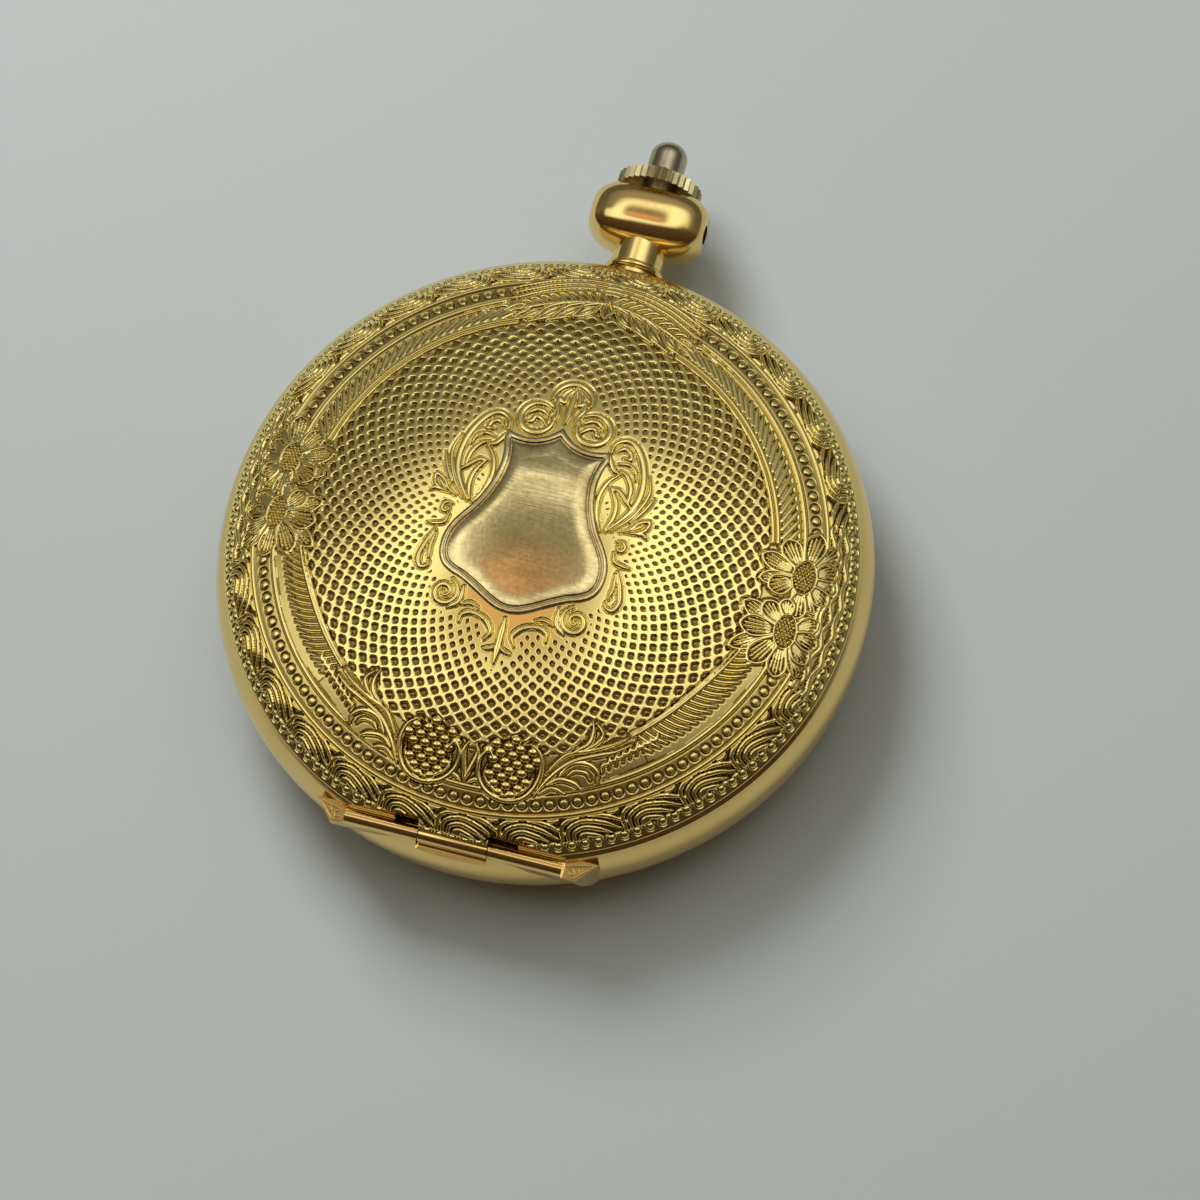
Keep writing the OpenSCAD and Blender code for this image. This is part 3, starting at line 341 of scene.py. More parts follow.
class Chasing:
    """Height of chased metal over the plain form, in millimetres, at a list of places."""

    ditch_depth = 0.085
    rim_depth = 0.1
    not_raised = -1.0
    taper = 4

    def __init__(self, x, y):
        self.x = x
        self.y = y
        self.ground = np.zeros(len(x))
        self.cut = np.zeros(len(x))
        self.raised = np.full(len(x), self.not_raised)

    def near(self, path, wide):
        """The places in a box round the path, wider than it by a margin."""
        low = path.min(0) - wide
        high = path.max(0) + wide
        inside = (self.x > low[0]) & (self.x < high[0]) & (self.y > low[1]) & (self.y < high[1])
        return np.flatnonzero(inside)

    def follow(self, spots, path):
        """Each spot's distance from the path, and how far along the path it lies, from 0 to 1."""
        px, py = self.x[spots], self.y[spots]
        best = np.full(len(spots), np.inf)
        where = np.zeros(len(spots))
        steps = np.hypot(*np.diff(path, axis=0).T)
        gone = 0.0
        for (ax, ay), (bx, by), step in zip(path, path[1:], steps):
            t = np.clip(((px - ax) * (bx - ax) + (py - ay) * (by - ay)) / step ** 2, 0, 1)
            far = np.hypot(px - ax - t * (bx - ax), py - ay - t * (by - ay))
            closer = far < best
            best[closer] = far[closer]
            where[closer] = (gone + t[closer] * step) / steps.sum()
            gone += step
        return best, where

    def wire(self, path, width, top=0.07, moat=0.1, slim=(0.35, 0.35)):
        """A rounded ridge along a path, slimmer over its end quarters, with a cut on both sides."""
        path = np.array(path, float)
        spots = self.near(path, width / 2 + moat)
        if not len(spots):
            return
        far, where = self.follow(spots, path)
        start = slim[0] + where * self.taper * (1 - slim[0])
        end = slim[1] + (1 - where) * self.taper * (1 - slim[1])
        half = width / 2 * np.clip(np.minimum(start, end), 0.05, 1)
        crown = np.sqrt(np.clip(1 - (far / half) ** 2, 0, 1))
        on = far < half
        self.raised[spots[on]] = np.maximum(self.raised[spots[on]], top * crown[on])
        ditch = np.clip(1 - np.abs(far - half - moat / 2) / (moat / 2 + 1e-6), 0, 1)
        self.cut[spots] = np.maximum(self.cut[spots], self.ditch_depth * ditch)

    def groove(self, path, width, depth=0.08):
        """A rounded cut along a path."""
        path = np.array(path, float)
        spots = self.near(path, width)
        if len(spots):
            far, _ = self.follow(spots, path)
            bowl = np.clip(1 - (far / width * 2) ** 2, 0, 1)
            self.cut[spots] = np.maximum(self.cut[spots], depth * bowl)

    def inside(self, spots, outline):
        """Which of the spots lie inside a closed outline."""
        px, py = self.x[spots], self.y[spots]
        within = np.zeros(len(spots), bool)
        for (ax, ay), (bx, by) in zip(outline, np.roll(outline, -1, axis=0)):
            crosses = (ay > py) != (by > py)
            within ^= crosses & (px < (bx - ax) * (py - ay) / (by - ay + 1e-12) + ax)
        return within

    def patch(self, outline, level):
        """Lays the ground inside an outline flat at a level, over whatever is there."""
        outline = np.array(outline, float)
        spots = self.near(outline, 0)
        within = spots[self.inside(spots, outline)]
        self.ground[within] = level
        self.cut[within] = 0
        self.raised[within] = self.not_raised

    def smooth(self, path, reach):
        """Lays the ground along a path flush with the plain form."""
        path = np.array(path, float)
        spots = self.near(path, reach)
        if len(spots):
            far, _ = self.follow(spots, path)
            spots = spots[far < reach]
            self.ground[spots] = 0
            self.cut[spots] = 0
            self.raised[spots] = self.not_raised

    def scale(self, middle, half_x, half_y, top):
        """A low oval boss with a cut round it."""
        spots = self.near(np.array([middle], float), 1.4 * max(half_x, half_y))
        far = np.hypot((self.x[spots] - middle[0]) / half_x, (self.y[spots] - middle[1]) / half_y)
        on = far < 1
        boss = top * (2 * np.sqrt(1 - far[on] ** 2) - 1)
        self.raised[spots[on]] = np.maximum(self.raised[spots[on]], boss)
        rim = np.clip(1 - np.abs(far - 1.1) / 0.25, 0, 1)
        self.cut[spots] = np.maximum(self.cut[spots], self.rim_depth * rim)

    def bead(self, middle, radius, top=0.1):
        """A round bead with a cut round it."""
        spots = self.near(np.array([middle], float), radius * 1.5)
        far = np.hypot(self.x[spots] - middle[0], self.y[spots] - middle[1])
        on = far < radius
        ball = top * np.sqrt(1 - (far[on] / radius) ** 2)
        self.raised[spots[on]] = np.maximum(self.raised[spots[on]], ball)
        rim = np.clip(1 - np.abs(far - radius * 1.25) / (radius * 0.25), 0, 1)
        self.cut[spots] = np.maximum(self.cut[spots], self.rim_depth * rim)

    def height(self):
        """The finished surface: the ground less the cuts, or what is raised above that."""
        return np.maximum(self.ground - self.cut, self.raised)


net_lines, net_pitch, net_edge = 72, 0.96, 16.75
net_depth, mesh_slope = 0.17, 0.2
stud_share, stud_rise = 0.8, 0.3
mesh_at_r, mesh_half = (6, 9, 12, 16), (0.36, 0.48, 0.63, 0.72)
crest_foot, crest_edge = 15, 19


def net(work, r, angle):
    """Engine-turned net: raised lines in two spirals, with a low stud in every mesh. It runs on
    under the crest."""
    p, q = (2 * np.abs((net_lines * angle / (2 * np.pi) + s * r / net_pitch) % 1 - 0.5) for s in (1, -1))
    reach = (p ** 4 + q ** 4) ** 0.25
    edge = np.interp(r, mesh_at_r, mesh_half)
    pit = np.clip((edge - reach) / mesh_slope, 0, 1)
    stud = np.clip(1 - (reach / (stud_share * edge)) ** 2, 0, 1)
    reaches = (r < net_edge) | ((work.y > crest_foot) & (r < crest_edge))
    work.ground = np.where(reaches, -net_depth * (pit - stud_rise * stud ** 2), work.ground)


# What doesn't run round the lid is drawn for its right half and mirrored to the left, in
# millimetres from its middle.
shield_top = [(0, 7.6), (0.55, 7.0), (1.3, 6.5), (2.1, 6.28), (2.95, 6.32), (3.75, 6.55)]
shield_side = [(3.75, 6.55), (3.95, 5.95), (3.7, 5.0), (3.6, 4.1), (3.65, 3.2), (3.85, 2.2), (4.2, 1.2),
               (4.65, 0.3), (5.2, -0.5), (5.7, -1.3), (6.0, -2.1), (6.1, -3.0), (5.95, -3.9), (5.5, -4.6),
               (4.8, -5.05), (4.0, -5.35), (3.2, -5.75), (2.4, -6.2), (1.6, -6.65), (0.8, -6.98), (0, -7.1)]
shield_half = np.vstack([curve(shield_top)[:-1], curve(shield_side)])
shield_outline = np.vstack([shield_half, shield_half[-2:0:-1] * (-1, 1), shield_half[:1]])


def shield_frame(work):
    """Trefoil, leaf scrolls, thorns and curls that frame the shield, on smooth land."""
    bold, plain, fine = 0.5, 0.4, 0.3
    shield_land, stroke_land = 0.75, 0.28
    curls = [(arc((0, 10.0), 1.42, -8, 188, 24), bold),
             (arc((2.1, 8.0), 1.22, -200, 135, 26), bold),
             (arc((6.4, -0.4), (0.15, 0.48), -200, 130), fine),
             (arc((4.8, -6.5), (1.05, 0.1), -250, 360, 44), plain)]
    stems = {
        bold: [
            [(0, 10.7), (0, 8.0)],
            [(3.85, 6.6), (3.95, 7.3), (4.6, 7.8), (5.4, 7.6), (6.1, 6.7), (6.6, 5.4), (6.75, 4.0),
             (6.5, 2.7), (5.9, 1.6), (5.1, 0.5)],
            [(0, -7.5), (0, -10.7)]],
        plain: [
            [(0, 11.0), (0.42, 10.35), (0.55, 9.7), (0.95, 9.95), (1.0, 9.3), (0.75, 8.7), (0.8, 8.1)],
            [(1.35, 8.3), (1.75, 8.65), (2.35, 8.65), (2.8, 8.2)],
            [(1.3, 7.5), (1.75, 8.0), (2.25, 8.05), (2.45, 7.6), (2.9, 7.5)],
            [(3.8, 6.3), (4.3, 5.4), (4.9, 5.0)],
            [(4.9, 5.0), (4.25, 4.2), (3.95, 3.0), (4.1, 1.6), (4.7, 0.4)],
            [(4.3, 6.8), (4.7, 7.15), (5.2, 6.9), (5.3, 6.4), (4.85, 6.4)],
            [(4.9, 5.3), (5.5, 5.0), (5.95, 4.2), (6.05, 3.1)],
            [(4.6, 3.8), (5.2, 3.75), (5.85, 3.2), (6.3, 2.7)],
            [(4.7, 3.7), (5.25, 2.8), (5.35, 1.7), (5.0, 0.6)],
            [(6.75, -2.2), (7.15, -3.2), (7.4, -4.3), (7.1, -5.0), (6.6, -4.95), (6.5, -4.6)],
            [(3.5, -5.9), (3.6, -7.0), (4.3, -7.6)],
            [(3.2, -8.4), (3.1, -7.85), (2.4, -7.55), (1.4, -7.85), (0.8, -8.6), (1.1, -9.25)]],
        fine: [
            [(7.0, 5.5), (7.3, 4.3), (7.1, 3.2), (6.5, 1.9), (5.5, 0.6)],
            [(7.75, 3.9), (7.3, 2.8), (6.6, 1.6)],
            [(4.6, 5.8), (5.3, 5.95), (5.9, 5.6), (6.1, 4.9)],
            [(6.1, 0.7), (6.7, 1.1), (7.2, 1.75), (7.9, 2.05), (7.8, 1.4), (7.2, 0.95), (6.5, 0.8)],
            [(6.9, 1.1), (7.6, 1.7)],
            [(7.3, 0.9), (7.7, 1.0), (8.0, 0.75)],
            [(6.1, -0.9), (6.3, -1.5), (6.9, -1.7), (7.45, -1.75)],
            [(6.65, -2.4), (6.75, -3.4), (6.6, -4.3)],
            [(2.1, -7.15), (2.7, -6.95), (3.3, -7.15)],
            [(0.15, -9.5), (0.5, -9.75), (1.0, -9.85)]]}
    strokes = curls + [(curve(points), width) for width, group in stems.items() for points in group]
    work.smooth(shield_outline, shield_land)
    for path, width in strokes:
        work.smooth(path, width / 2 + stroke_land)
    for path, width in strokes:
        work.wire(path, width=width, top=0.12, moat=0.12, slim=(0.5, 0.4))


def petal(work, root, tip, half):
    """A flower's petal: a blade sunk inside a raised rim, with ridges that run its length."""
    root, tip = np.array(root, float), np.array(tip, float)
    run = tip - root
    side = square_to(run)
    outline = ((0, 0.4), (0.35, 0.85), (0.65, 1), (0.88, 0.62))
    edges = [curve([root + run * far + side * half * out * way for far, out in outline] + [tip])
             for way in (1, -1)]
    work.patch(np.vstack([edges[0], edges[1][::-1]]), level=-0.13)
    for off in (-0.6, -0.2, 0.2, 0.6):
        start = root + run * 0.12 + side * half * off * 0.6
        end = root + run * (0.86 - 0.3 * off ** 2) + side * half * off * 0.95
        work.wire([start, end], width=0.19, top=0.04, moat=0.02, slim=(1, 0.8))
    for edge in edges:
        work.wire(edge, width=0.26, top=0.09, moat=0.13, slim=(1, 1))


def flower(work, middle, eye_size, petals):
    """A daisy: petals given by their direction, length and half width, then the stippled eye."""
    dot_r, dot_pitch, row_pitch = 0.11, 0.26, 0.22
    middle = np.array(middle)
    for turn_deg, far, half in petals:
        out = pointing(math.radians(turn_deg))
        start = 0.92 / math.hypot(out[0] / eye_size[0], out[1] / eye_size[1])
        petal(work, middle + out * start, middle + out * far, half)
    ring = middle + arc((0, 0), 1, 0, 360, 28) * eye_size
    work.patch(ring, level=-0.07)
    work.wire(ring, width=0.2, top=0.08, slim=(1, 1))
    for row in range(-5, 6):
        for col in range(-3, 4):
            spot = np.array([col * dot_pitch + dot_pitch / 2 * (row % 2), row * row_pitch])
            if (spot[0] / eye_size[0]) ** 2 + (spot[1] / eye_size[1]) ** 2 < 0.6:
                work.bead(middle + spot, radius=dot_r, top=0.05)


def wreath(work, r):
    """Feathers between the rings: steep barbs up the sides, long ribbed ones towards the foot."""
    side_barbs, first_deg, barb_deg = 27, 9, 2.15
    root_r, tip_r, barb_length = 17.5, 18.75, 2.0
    band = (r > 16.7) & (r < 19.0) & (work.y < 15.9)
    work.ground[band] = -0.07
    for radius in (16.85, 17.22):
        work.wire(arc((0, 0), radius, 12, 69, 60), width=0.32, top=0.1, slim=(1, 1))
    for k in range(side_barbs):
        a = math.radians(first_deg + k * barb_deg)
        root = pointing(a) * root_r
        tip = root + pointing(math.radians(45 + 1.4 * math.degrees(a))) * barb_length
        tip *= min(1, tip_r / np.hypot(*tip))
        work.wire([root, tip], width=0.4, top=0.09, moat=0.15, slim=(1, 0.5))

    foot_barbs, foot_tip_r = 19, 18.3
    rib = curve([(16.3, -5.0), (15.5, -6.6), (14.3, -8.6), (12.9, -10.6), (11.6, -12.1), (10.3, -13.4)])
    vane = [(11.6, -14.9), (14.0, -12.9), (16.2, -10.0), (18.0, -6.2), (18.2, -5.0)]
    work.patch(np.vstack([rib, vane]), level=-0.06)
    run = np.concatenate([[0], np.cumsum(np.hypot(*np.diff(rib, axis=0).T))])
    for k in range(foot_barbs):
        at = np.array([np.interp((k + 0.5) / foot_barbs * run[-1], run, rib[:, i]) for i in (0, 1)])
        length = 2.6 * math.sin(math.pi * (0.3 + 0.4 * k / foot_barbs)) ** 0.5
        tip = at + length * pointing(0.3 - 0.75 * k / foot_barbs)
        tip *= min(1, foot_tip_r / np.hypot(*tip))
        barb = curve([at, (at + tip) / 2 + (0.05, -0.1), tip])
        work.wire(barb, width=0.27, top=0.08, moat=0.13, slim=(1, 0.5))
    work.wire(rib, width=0.3, top=0.11, slim=(0.6, 1))
    work.wire(rib - (0.3, 0.05), width=0.2, top=0.06, slim=(0.6, 1))


def rings(work, r, angle):
    """The beaded ring between two lines, and the row of small beads along the rim."""
    work.ground[(r > 19.2) & (r < 20.7)] = -0.06
    ditch = 0.06
    for radius, width, top in ((18.72, 0.22, 0.06), (19.15, 0.34, 0.1), (20.75, 0.32, 0.1)):
        off = np.abs(r - radius)
        on = off < width / 2
        work.raised[on] = top * np.sqrt(1 - (off[on] / width * 2) ** 2)
        beside = np.clip(1 - np.abs(off - width / 2 - ditch) / ditch, 0, 1)
        work.cut = np.maximum(work.cut, 0.08 * beside)
    lean = np.sqrt(1 - lid_lean(r) ** 2)
    for radius, count, size, top in ((19.98, 128, 0.28, 0.02), (22.65, 150, 0.27, 0.06)):
        round_by = ((angle * count / (2 * np.pi)) % 1 - 0.5) * 2 * np.pi * radius / count
        far = np.hypot(round_by, (r - radius) / lean)
        on = far < size
        ball = top * (2 * np.sqrt(1 - (far[on] / size) ** 2) - 1)
        work.raised[on] = np.maximum(work.raised[on], ball)
        beside = np.clip(1 - np.abs(far - size * 1.2) / (size * 0.28), 0, 1)
        work.cut = np.maximum(work.cut, 0.12 * beside)


def rocaille(work, r, angle, count=31):
    """The outer border: shells of nested strokes, all leaning the same way round, and wavy
    lines where the lid is widest."""
    inner, middle, outer = 20.95, 21.7, 22.4
    in_border = (r > inner) & (r < outer)
    zone = np.flatnonzero(in_border)
    lean = math.sqrt(1 - float(lid_lean(middle)) ** 2)
    pitch = 2 * math.pi * middle / count
    cell = Chasing(((angle[zone] * count / (2 * np.pi)) % 1) * pitch, (outer - r[zone]) / lean)
    cell.ground[:] = -0.13
    for shift in (-pitch, 0, pitch):
        eye = shift + 1.5
        for k in range(4):
            size = 0.42 + 0.52 * k
            shell = [(eye - size * 0.8, 0.0), (eye - size * 0.75, size * 0.62), (eye, size * 0.92),
                     (eye + size * 0.95, size * 0.66), (shift + 2.1 + size * 1.35, 0.05 + 0.1 * k)]
            cell.wire(curve(shell, 4), width=0.37, top=0.1, moat=0.11, slim=(0.8, 0.3))
        hook = [(shift + 3.2, 1.95), (shift + 3.7, 1.55), (shift + 4.5, 2.0)]
        cell.wire(curve(hook, 4), width=0.3, top=0.08)
        cell.bead((eye, 0.12), radius=0.2, top=0.08)
    work.ground[zone] = cell.height()

    wave_half_deg, waves, side_from = 17, 62, 1.29
    at_sides = np.abs(np.abs(angle - np.pi) - np.pi / 2) > side_from
    work.ground[in_border & at_sides] = -0.1
    turns = np.radians(np.linspace(-wave_half_deg, wave_half_deg, 90))
    for radius, swing in ((21.15, 0.12), (21.6, -0.15), (22.1, 0.12)):
        reach = radius + swing * np.sin(turns * waves)
        wave = np.column_stack([reach * np.cos(turns), reach * np.sin(turns)])
        work.wire(wave, width=0.3, top=0.09, moat=0.1, slim=(1, 1))


def cone(work, middle):
    """A pine cone held in a C-scroll: rows of overlapping scales inside a raised ring."""
    ring_r, foot_r = 2.2, 1.66
    scale_pitch, row_pitch = 0.88, 0.52
    eye = np.array(middle, float)
    work.patch(arc(eye, ring_r, 0, 360, 30), level=-0.13)
    for row in range(9):
        for col in range(-3, 4):
            spot = eye + (col * scale_pitch + scale_pitch / 2 * (row % 2), 2.15 - row * row_pitch)
            if np.hypot(*(spot - eye)) < (ring_r if spot[1] > eye[1] + 1 else foot_r):
                work.scale(spot, half_x=0.385, half_y=0.3, top=0.1)
    scroll = [(-1.2, 0.5), (-1.7, 1.05), (-2.2, 0.4), (-2.1, -0.7), (-1.3, -1.6), (0, -1.95), (1.2, -1.6),
              (1.95, -0.7), (2.2, 0.5), (1.9, 1.6), (1.1, 2.1), (0.4, 1.9)]
    lining = [(-1.6, 0.2), (-1.65, -0.6), (-1.0, -1.25), (0, -1.6), (1.0, -1.25), (1.6, -0.5), (1.75, 0.4)]
    work.wire(curve(eye + scroll), width=0.36, top=0.12)
    work.wire(curve(eye + lining), width=0.2, top=0.07)


def foot(work):
    """The foot of the lid: two cones, stems and acanthus that run out to the feathers."""
    leaf_land = [(4.6, -18.9), (5.2, -16.8), (6.1, -15.7), (7.5, -14.9), (7.7, -13.4), (8.0, -12.6),
                 (8.8, -13.0), (9.0, -13.9), (10.4, -12.9), (11.2, -13.4), (12.2, -14.4), (8.9, -17.0),
                 (5.0, -18.9)]
    stem_land = [(0, -16.9), (0.7, -16.2), (1.5, -16.6), (1.4, -19.0), (0, -19.0)]
    work.patch(leaf_land, level=-0.08)
    work.patch(stem_land, level=-0.1)
    cone(work, (2.95, -17.55))
    wide, slim = 0.36, 0.28
    stems = {
        wide: [
            [(0, -18.8), (0.3, -17.8), (0.5, -16.9), (0.3, -16.3)],
            [(5.0, -18.7), (5.8, -17.3), (7.0, -15.9), (8.6, -15.0), (9.8, -14.4), (10.8, -13.6)],
            [(7.0, -15.2), (7.9, -14.4), (8.05, -13.6), (7.85, -12.9)],
            [(6.4, -17.0), (7.1, -16.0), (8.2, -15.7), (9.0, -16.1), (9.1, -16.7)],
            [(5.7, -17.8), (6.5, -17.2), (7.6, -17.2), (8.2, -17.5)]],
        slim: [
            [(0.25, -18.9), (0.8, -18.6), (1.1, -18.9)],
            [(5.5, -17.0), (6.6, -15.5), (8.1, -14.8), (9.5, -14.0), (10.5, -13.2)],
            [(7.7, -14.9), (8.45, -14.2), (8.7, -13.5), (8.0, -12.8)],
            [(6.9, -16.9), (7.4, -16.4), (8.2, -16.3), (8.6, -16.7)],
            [(5.3, -18.5), (6.1, -17.9), (7.1, -18.0)]]}
    for width, paths in stems.items():
        for path in paths:
            work.wire(curve(path), width=width, top=0.11)
    for k in range(8):
        base = np.array([9.3 + 0.4 * k, -16.0 + 0.36 * k])
        frond = [base, base + (-0.1, 0.5), base + (0.25, 0.75), base + (0.2, 1.3)]
        work.wire(curve(frond), width=0.26, top=0.09)


def leaf(work, root, tip, half):
    """A slim leaf of the crest: a raised blade with a midrib cut into it."""
    root, tip = np.array(root, float), np.array(tip, float)
    run = tip - root
    side = square_to(run)
    edges = [curve([root, root + run * 0.45 + side * half * s, tip]) for s in (1, -1)]
    work.patch(np.vstack([edges[0], edges[1][::-1]]), level=-0.02)
    work.groove([root + run * 0.1, root + run * 0.9], width=0.22, depth=0.1)
    for edge in edges:
        work.wire(edge, width=0.24, top=0.09, moat=0.12, slim=(0.7, 0.5))


def crest(work):
    """The head of the lid: long ribs under the rim, a spray of barbs, and leaves that hang
    over the net."""
    land = [(0, 18.7), (2.4, 18.2), (4.4, 17.2), (5.8, 16.1), (6.8, 16.5), (7.6, 17.4), (5.6, 19.9),
            (3.0, 21.0), (0, 21.3)]
    work.patch(land, level=-0.08)
    for k in range(4):
        rib = [(0, 21.15 - 0.36 * k), (2.3, 21.0 - 0.42 * k), (4.8, 20.25 - 0.48 * k),
               (7.3 - 0.15 * k, 18.9 - 0.5 * k)]
        work.wire(curve(rib), width=0.36, top=0.1, moat=0.13, slim=(1, 0.4))
    spine = curve([(0, 19.1), (2.2, 18.75), (4.6, 17.9), (7.1, 16.6)], 8)
    run = np.linspace(0, 1, len(spine))
    barbs = 11
    for k in range(barbs):
        root = np.array([np.interp(k / barbs, run, spine[:, i]) for i in (0, 1)])
        tip = root + (1.7 - 0.05 * k) * pointing(0.7 - 0.06 * k)
        barb = curve([root, (root + tip) / 2 + (0.05, 0.16), tip])
        work.wire(barb, width=0.36, top=0.1, moat=0.13, slim=(1, 0.5))
    hanging_leaves = [((0.5, 19.0), (2.6, 17.1)), ((1.6, 18.8), (3.9, 16.5)), ((2.9, 18.5), (5.3, 16.0)),
                      ((4.2, 18.0), (6.6, 15.9)), ((5.4, 17.5), (7.5, 16.5))]
    for root, tip in hanging_leaves:
        leaf(work, root, tip, half=0.45)
    work.wire(spine, width=0.34, top=0.12, moat=0.12, slim=(1, 0.5))
    leaf(work, (0, 19.4), (0, 17.6), half=0.4)


def ornament(work, r, angle):
    """The relief that the lid and the back share."""
    net(work, r, angle)
    rings(work, r, angle)
    rocaille(work, r, angle)
    wreath(work, r)
    foot(work)
    crest(work)
    upper_petals = [(200, 3.2, 0.5), (60, 3.4, 0.6), (-62, 2.7, 0.6), (168, 3.3, 0.62), (-5, 2.2, 0.62),
                    (-38, 2.4, 0.62), (-90, 3.2, 0.66), (215, 2.7, 0.72), (128, 3.0, 0.72), (86, 3.6, 0.74),
                    (34, 2.5, 0.66)]
    lower_petals = [(160, 3.5, 0.6), (213, 4.2, 0.55), (302, 3.6, 0.6), (-42, 2.6, 0.6), (35, 2.5, 0.55),
                    (-5, 2.35, 0.68), (138, 2.5, 0.66), (270, 3.4, 0.66), (236, 3.5, 0.72), (188, 3.2, 0.74),
                    (100, 2.4, 0.5)]
    flower(work, (19.25, 1.7), (0.85, 1.3), upper_petals)
    flower(work, (18.95, -2.6), (0.78, 1.28), lower_petals)


def chased_lid(x, y):
    """The lid's whole relief at the given places, faded out at both edges of the rings."""
    r = np.hypot(x, y)
    work = Chasing(np.abs(x), y)
    ornament(work, r, np.arctan2(y, x) % (2 * np.pi))
    shield_frame(work)
    outer_fade = np.clip((relief_end - 0.1 - r) / 0.12, 0, 1)
    inner_fade = np.clip((r - relief_start - 0.1) / 0.3, 0, 1)
    return work.height() * outer_fade * inner_fade


def turned_grid(section, steps):
    """A closed ring about Z from a closed section of (r, z) points, and each vertex's row in it."""
    section = np.array(section, float)
    rows = len(section)
    mesh = bmesh.new()
    bmesh.ops.create_grid(mesh, x_segments=rows, y_segments=steps, size=0.5)
    flat = np.array([v.co for v in mesh.verts])
    row = np.rint((flat[:, 0] + 0.5) * rows).astype(int) % rows
    angle = 2 * np.pi * (np.rint((flat[:, 1] + 0.5) * steps) % steps) / steps
    r, z = section[row].T
    place = np.column_stack([r * np.cos(angle), r * np.sin(angle), z])
    return mesh, place, row


def close_seams(mesh):
    """Merges a mesh's doubles, then points its faces outwards."""
    bmesh.ops.remove_doubles(mesh, verts=mesh.verts, dist=1e-5)
    bmesh.ops.recalc_face_normals(mesh, faces=mesh.faces)


def set_places(mesh, place):
    """Moves a grid's vertices to their places, closes its seams and clears what an axis folded."""
    for vert, spot in zip(mesh.verts, place):
        vert.co = spot
    close_seams(mesh)
    bmesh.ops.delete(mesh, geom=[e for e in mesh.edges if not e.link_faces], context="EDGES")


def section_of(height_of, radii, *inset):
    """Section points (r, z) on a surface, or at an inset below it, at the given radii."""
    return [(r, float(height_of(np.array(r), *inset))) for r in radii]


def chased_ring(name, inner, outer, steps, spacing, sheet_of, finish, body):
    """A closed ring of chased metal, its top in rows a spacing apart. sheet_of gives the plain
    form, its lean, its underside, the relief and which way is out, +1 upwards or -1 downwards."""
    form, lean_of, under_of, relief, out = sheet_of
    fine = np.linspace(inner, outer, 400)
    run = np.concatenate([[0], np.cumsum(np.hypot(np.diff(fine), np.diff(form(fine))))])
    radii = np.interp(np.linspace(0, run[-1], int(run[-1] / spacing) + 1), run, fine)
    top = list(zip(radii, form(radii)))
    under = section_of(under_of, np.linspace(outer, inner, 6))
    mesh, place, row = turned_grid(top + under, steps)
    on_top = row < len(top)
    r = np.hypot(place[on_top, 0], place[on_top, 1])
    height = relief(place[on_top, 0], place[on_top, 1])
    lean = lean_of(r)
    place[on_top, :2] *= (1 + height * lean / r)[:, None]
    place[on_top, 2] += out * height * np.sqrt(1 - lean ** 2)
    # Each top vertex keeps its depth below the plain form; the chased gold turns this into brown film and
    # painted shade.
    hollow = mesh.verts.layers.float.new("hollow")
    for vert, depth in zip(np.array(mesh.verts)[on_top], -height):
        vert[hollow] = depth
    set_places(mesh, place)
    return add_mesh(name, mesh, finish, body, 66)


def turned(name, section, finish, body, steps=240, smooth_deg=40):
    """A plain turned piece from a closed section of (r, z) points; points on the axis close it."""
    mesh, place, _ = turned_grid(section, steps)
    set_places(mesh, place)
    return add_mesh(name, mesh, finish, body, smooth_deg)


def block(low, high):
    """A box between two corners, in millimetres."""
    mesh = bmesh.new()
    bmesh.ops.create_cube(mesh, size=1)
    for vert in mesh.verts:
        vert.co = Vector(low[i] if vert.co[i] < 0 else high[i] for i in range(3))
    return mesh


def bar(radius, start, end, segments=64):
    """A round bar between two points, in millimetres."""
    start, end = Vector(start), Vector(end)
    run = end - start
    mesh = bmesh.new()
    bmesh.ops.create_cone(mesh, cap_ends=True, segments=segments, radius1=radius, radius2=radius,
                          depth=run.length)
    upright = run.to_track_quat("Z", "Y").to_matrix()
    bmesh.ops.rotate(mesh, verts=mesh.verts, cent=(0, 0, 0), matrix=upright)
    bmesh.ops.translate(mesh, verts=mesh.verts, vec=(start + end) / 2)
    return mesh


def cut_away(piece, shapes):
    """Cuts closed shapes, drawn in millimetres, out of a closed piece."""
    for shape in shapes:
        bmesh.ops.transform(shape, matrix=Matrix.Scale(MM, 4), verts=shape.verts)
        data = bpy.data.meshes.new("cutter")
        shape.to_mesh(data)
        shape.free()
        cutter = bpy.data.objects.new("cutter", data)
        bpy.context.scene.collection.objects.link(cutter)
        cut = piece.modifiers.new("cut", "BOOLEAN")
        cut.operation = "DIFFERENCE"
        cut.solver = "MANIFOLD"
        cut.object = cutter
        cut_piece = piece.evaluated_get(bpy.context.evaluated_depsgraph_get())
        piece.data = bpy.data.meshes.new_from_object(cut_piece)
        piece.modifiers.clear()
        bpy.data.objects.remove(cutter)


# The chased gold keeps its bright plate on the ridges; deeper in the cuts it turns brown, partly a film of
# tarnish and partly painted shade that stands in for the shadow in the recesses.
chased_gold = new_finish("chased_gold")
hollow = chased_gold.node("Attribute", {"attribute_name": "hollow"}, output="Fac")
grime_and_shade_noise = chased_gold.noise(3.5, detail=4)
# The brown in the cuts is partly tarnish and partly painted shade; the noise makes its edge uneven.
film_and_painted_shade = chased_gold.span(hollow + grime_and_shade_noise * 0.03, 0.045, 0.165, 0, 1)
tone = chased_gold.mix(film_and_painted_shade, srgb(252, 229, 142), srgb(118, 95, 47))
chased_gold.set(Base_Color=tone, Metallic=1.0, Roughness=chased_gold.span(film_and_painted_shade, 0, 1, 0.17, 0.32))
chased_gold.set(Normal=chased_gold.bump(chased_gold.noise(0.35, detail=4), strength=0.1, depth_mm=0.01))

